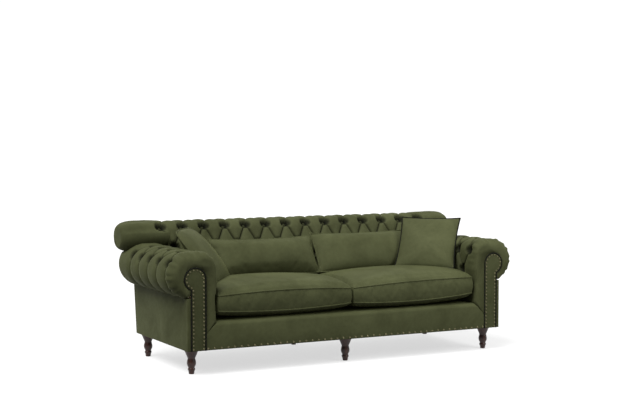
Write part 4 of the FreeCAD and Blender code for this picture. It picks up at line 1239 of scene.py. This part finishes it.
def glowing(name, colour, roughness, strength):
    """A surface that gives off white light by itself."""
    material = bpy.data.materials.new(name)
    material.use_nodes = True
    surface = material.node_tree.nodes["Principled BSDF"]
    surface.inputs["Base Color"].default_value = (*colour, 1.0)
    surface.inputs["Roughness"].default_value = roughness
    surface.inputs["Emission Color"].default_value = (1.0, 1.0, 1.0, 1.0)
    surface.inputs["Emission Strength"].default_value = strength
    return material


def lamp(name, kind, energy, towards, place=(0.0, 0.0, 0.0)):
    """A light that shines in a direction."""
    light = bpy.data.lights.new(name, kind)
    light.energy = energy
    holder = bpy.data.objects.new(name, light)
    holder.location = place
    holder.rotation_euler = Vector(towards).to_track_quat("-Z", "Y").to_euler()
    bpy.context.scene.collection.objects.link(holder)
    return light


class SOFA_OT_stage(bpy.types.Operator):
    """Floor, lights and camera"""
    bl_idname = "sofa.stage"
    bl_label = "Stage"

    def execute(self, context):
        s = context.scene.sofa_stage
        scene = context.scene
        bpy.ops.object.select_all(action="DESELECT")
        bpy.ops.mesh.primitive_plane_add(size=60.0, location=(0, 0, 0))
        floor = context.object
        floor.name = "Floor"
        floor.data.materials.append(glowing("Studio Floor", s.floor, 0.9, s.floor_glow))
        floor.visible_diffuse = False
        bpy.ops.mesh.primitive_plane_add(size=60.0, location=(4.0, 14.0, 0.0),
                                         rotation=(math.radians(90.0), 0.0, math.radians(-27.6)))
        backdrop = context.object
        backdrop.name = "Backdrop"
        bpy.ops.object.transform_apply(location=True, rotation=True, scale=True)
        backdrop.data.materials.append(glowing("Backdrop Paper", (0.0, 0.0, 0.0), 0.5, 1.0))
        world = bpy.data.worlds.new("Studio")
        world.use_nodes = True
        world.node_tree.nodes["Background"].inputs["Color"].default_value = (1.0, 1.0, 1.0, 1.0)
        world.node_tree.nodes["Background"].inputs["Strength"].default_value = s.sky
        scene.world = world
        lamp("Key", "SUN", s.key, (0.50, 0.20, -0.84)).angle = math.radians(38.0)
        place = Vector((2.3, -3.0, 2.4))
        lamp("Fill", "AREA", s.fill, Vector((1.0, -0.4, 0.35)) - place, place).size = 1.8
        camera = bpy.data.cameras.new("Camera")
        camera.lens, camera.sensor_width = 78.73, 36.0
        holder = bpy.data.objects.new("Camera", camera)
        holder.location = (-3.973, -7.562, 1.390)
        holder.rotation_euler = (math.radians(90.0 - 3.319), 0.0, math.radians(-27.607))
        scene.collection.objects.link(holder)
        scene.camera = holder
        scene.view_settings.view_transform = "Standard"
        return {"FINISHED"}


class SOFA_PT_panel(bpy.types.Panel):
    bl_idname = "SOFA_PT_panel"
    bl_label = "Buttoned Sofa"
    bl_space_type = "VIEW_3D"
    bl_region_type = "UI"
    bl_category = "Sofa"

    def draw(self, context):
        scene = context.scene
        for title, settings in (("Velvet", scene.sofa_velvet), ("Tufts", scene.sofa_tufts),
                                ("Cushions", scene.sofa_cushions), ("Trim", scene.sofa_trim),
                                ("Wood", scene.sofa_wood), ("Stage", scene.sofa_stage)):
            box = self.layout.box()
            box.label(text=title)
            for key in settings.__annotations__:
                box.prop(settings, key)
        for operator in OPERATORS:
            self.layout.operator(operator.bl_idname)


OPERATORS = (SOFA_OT_frame, SOFA_OT_back, SOFA_OT_arms, SOFA_OT_covers, SOFA_OT_trim, SOFA_OT_legs,
             SOFA_OT_seats, SOFA_OT_loose, SOFA_OT_stage)
GROUPS = {"sofa_velvet": VelvetSettings, "sofa_tufts": TuftSettings, "sofa_cushions": CushionSettings,
          "sofa_trim": TrimSettings, "sofa_wood": WoodSettings, "sofa_stage": StageSettings}


def register():
    for cls in (*GROUPS.values(), *OPERATORS, SOFA_PT_panel):
        bpy.utils.register_class(cls)
    for name, group in GROUPS.items():
        setattr(bpy.types.Scene, name, PointerProperty(type=group))


def unregister():
    for name in GROUPS:
        delattr(bpy.types.Scene, name)
    for cls in reversed((*GROUPS.values(), *OPERATORS, SOFA_PT_panel)):
        bpy.utils.unregister_class(cls)


def main():
    register()
    for operator in OPERATORS:
        group, name = operator.bl_idname.split(".")
        getattr(getattr(bpy.ops, group), name)()


if __name__ == "__main__":
    main()
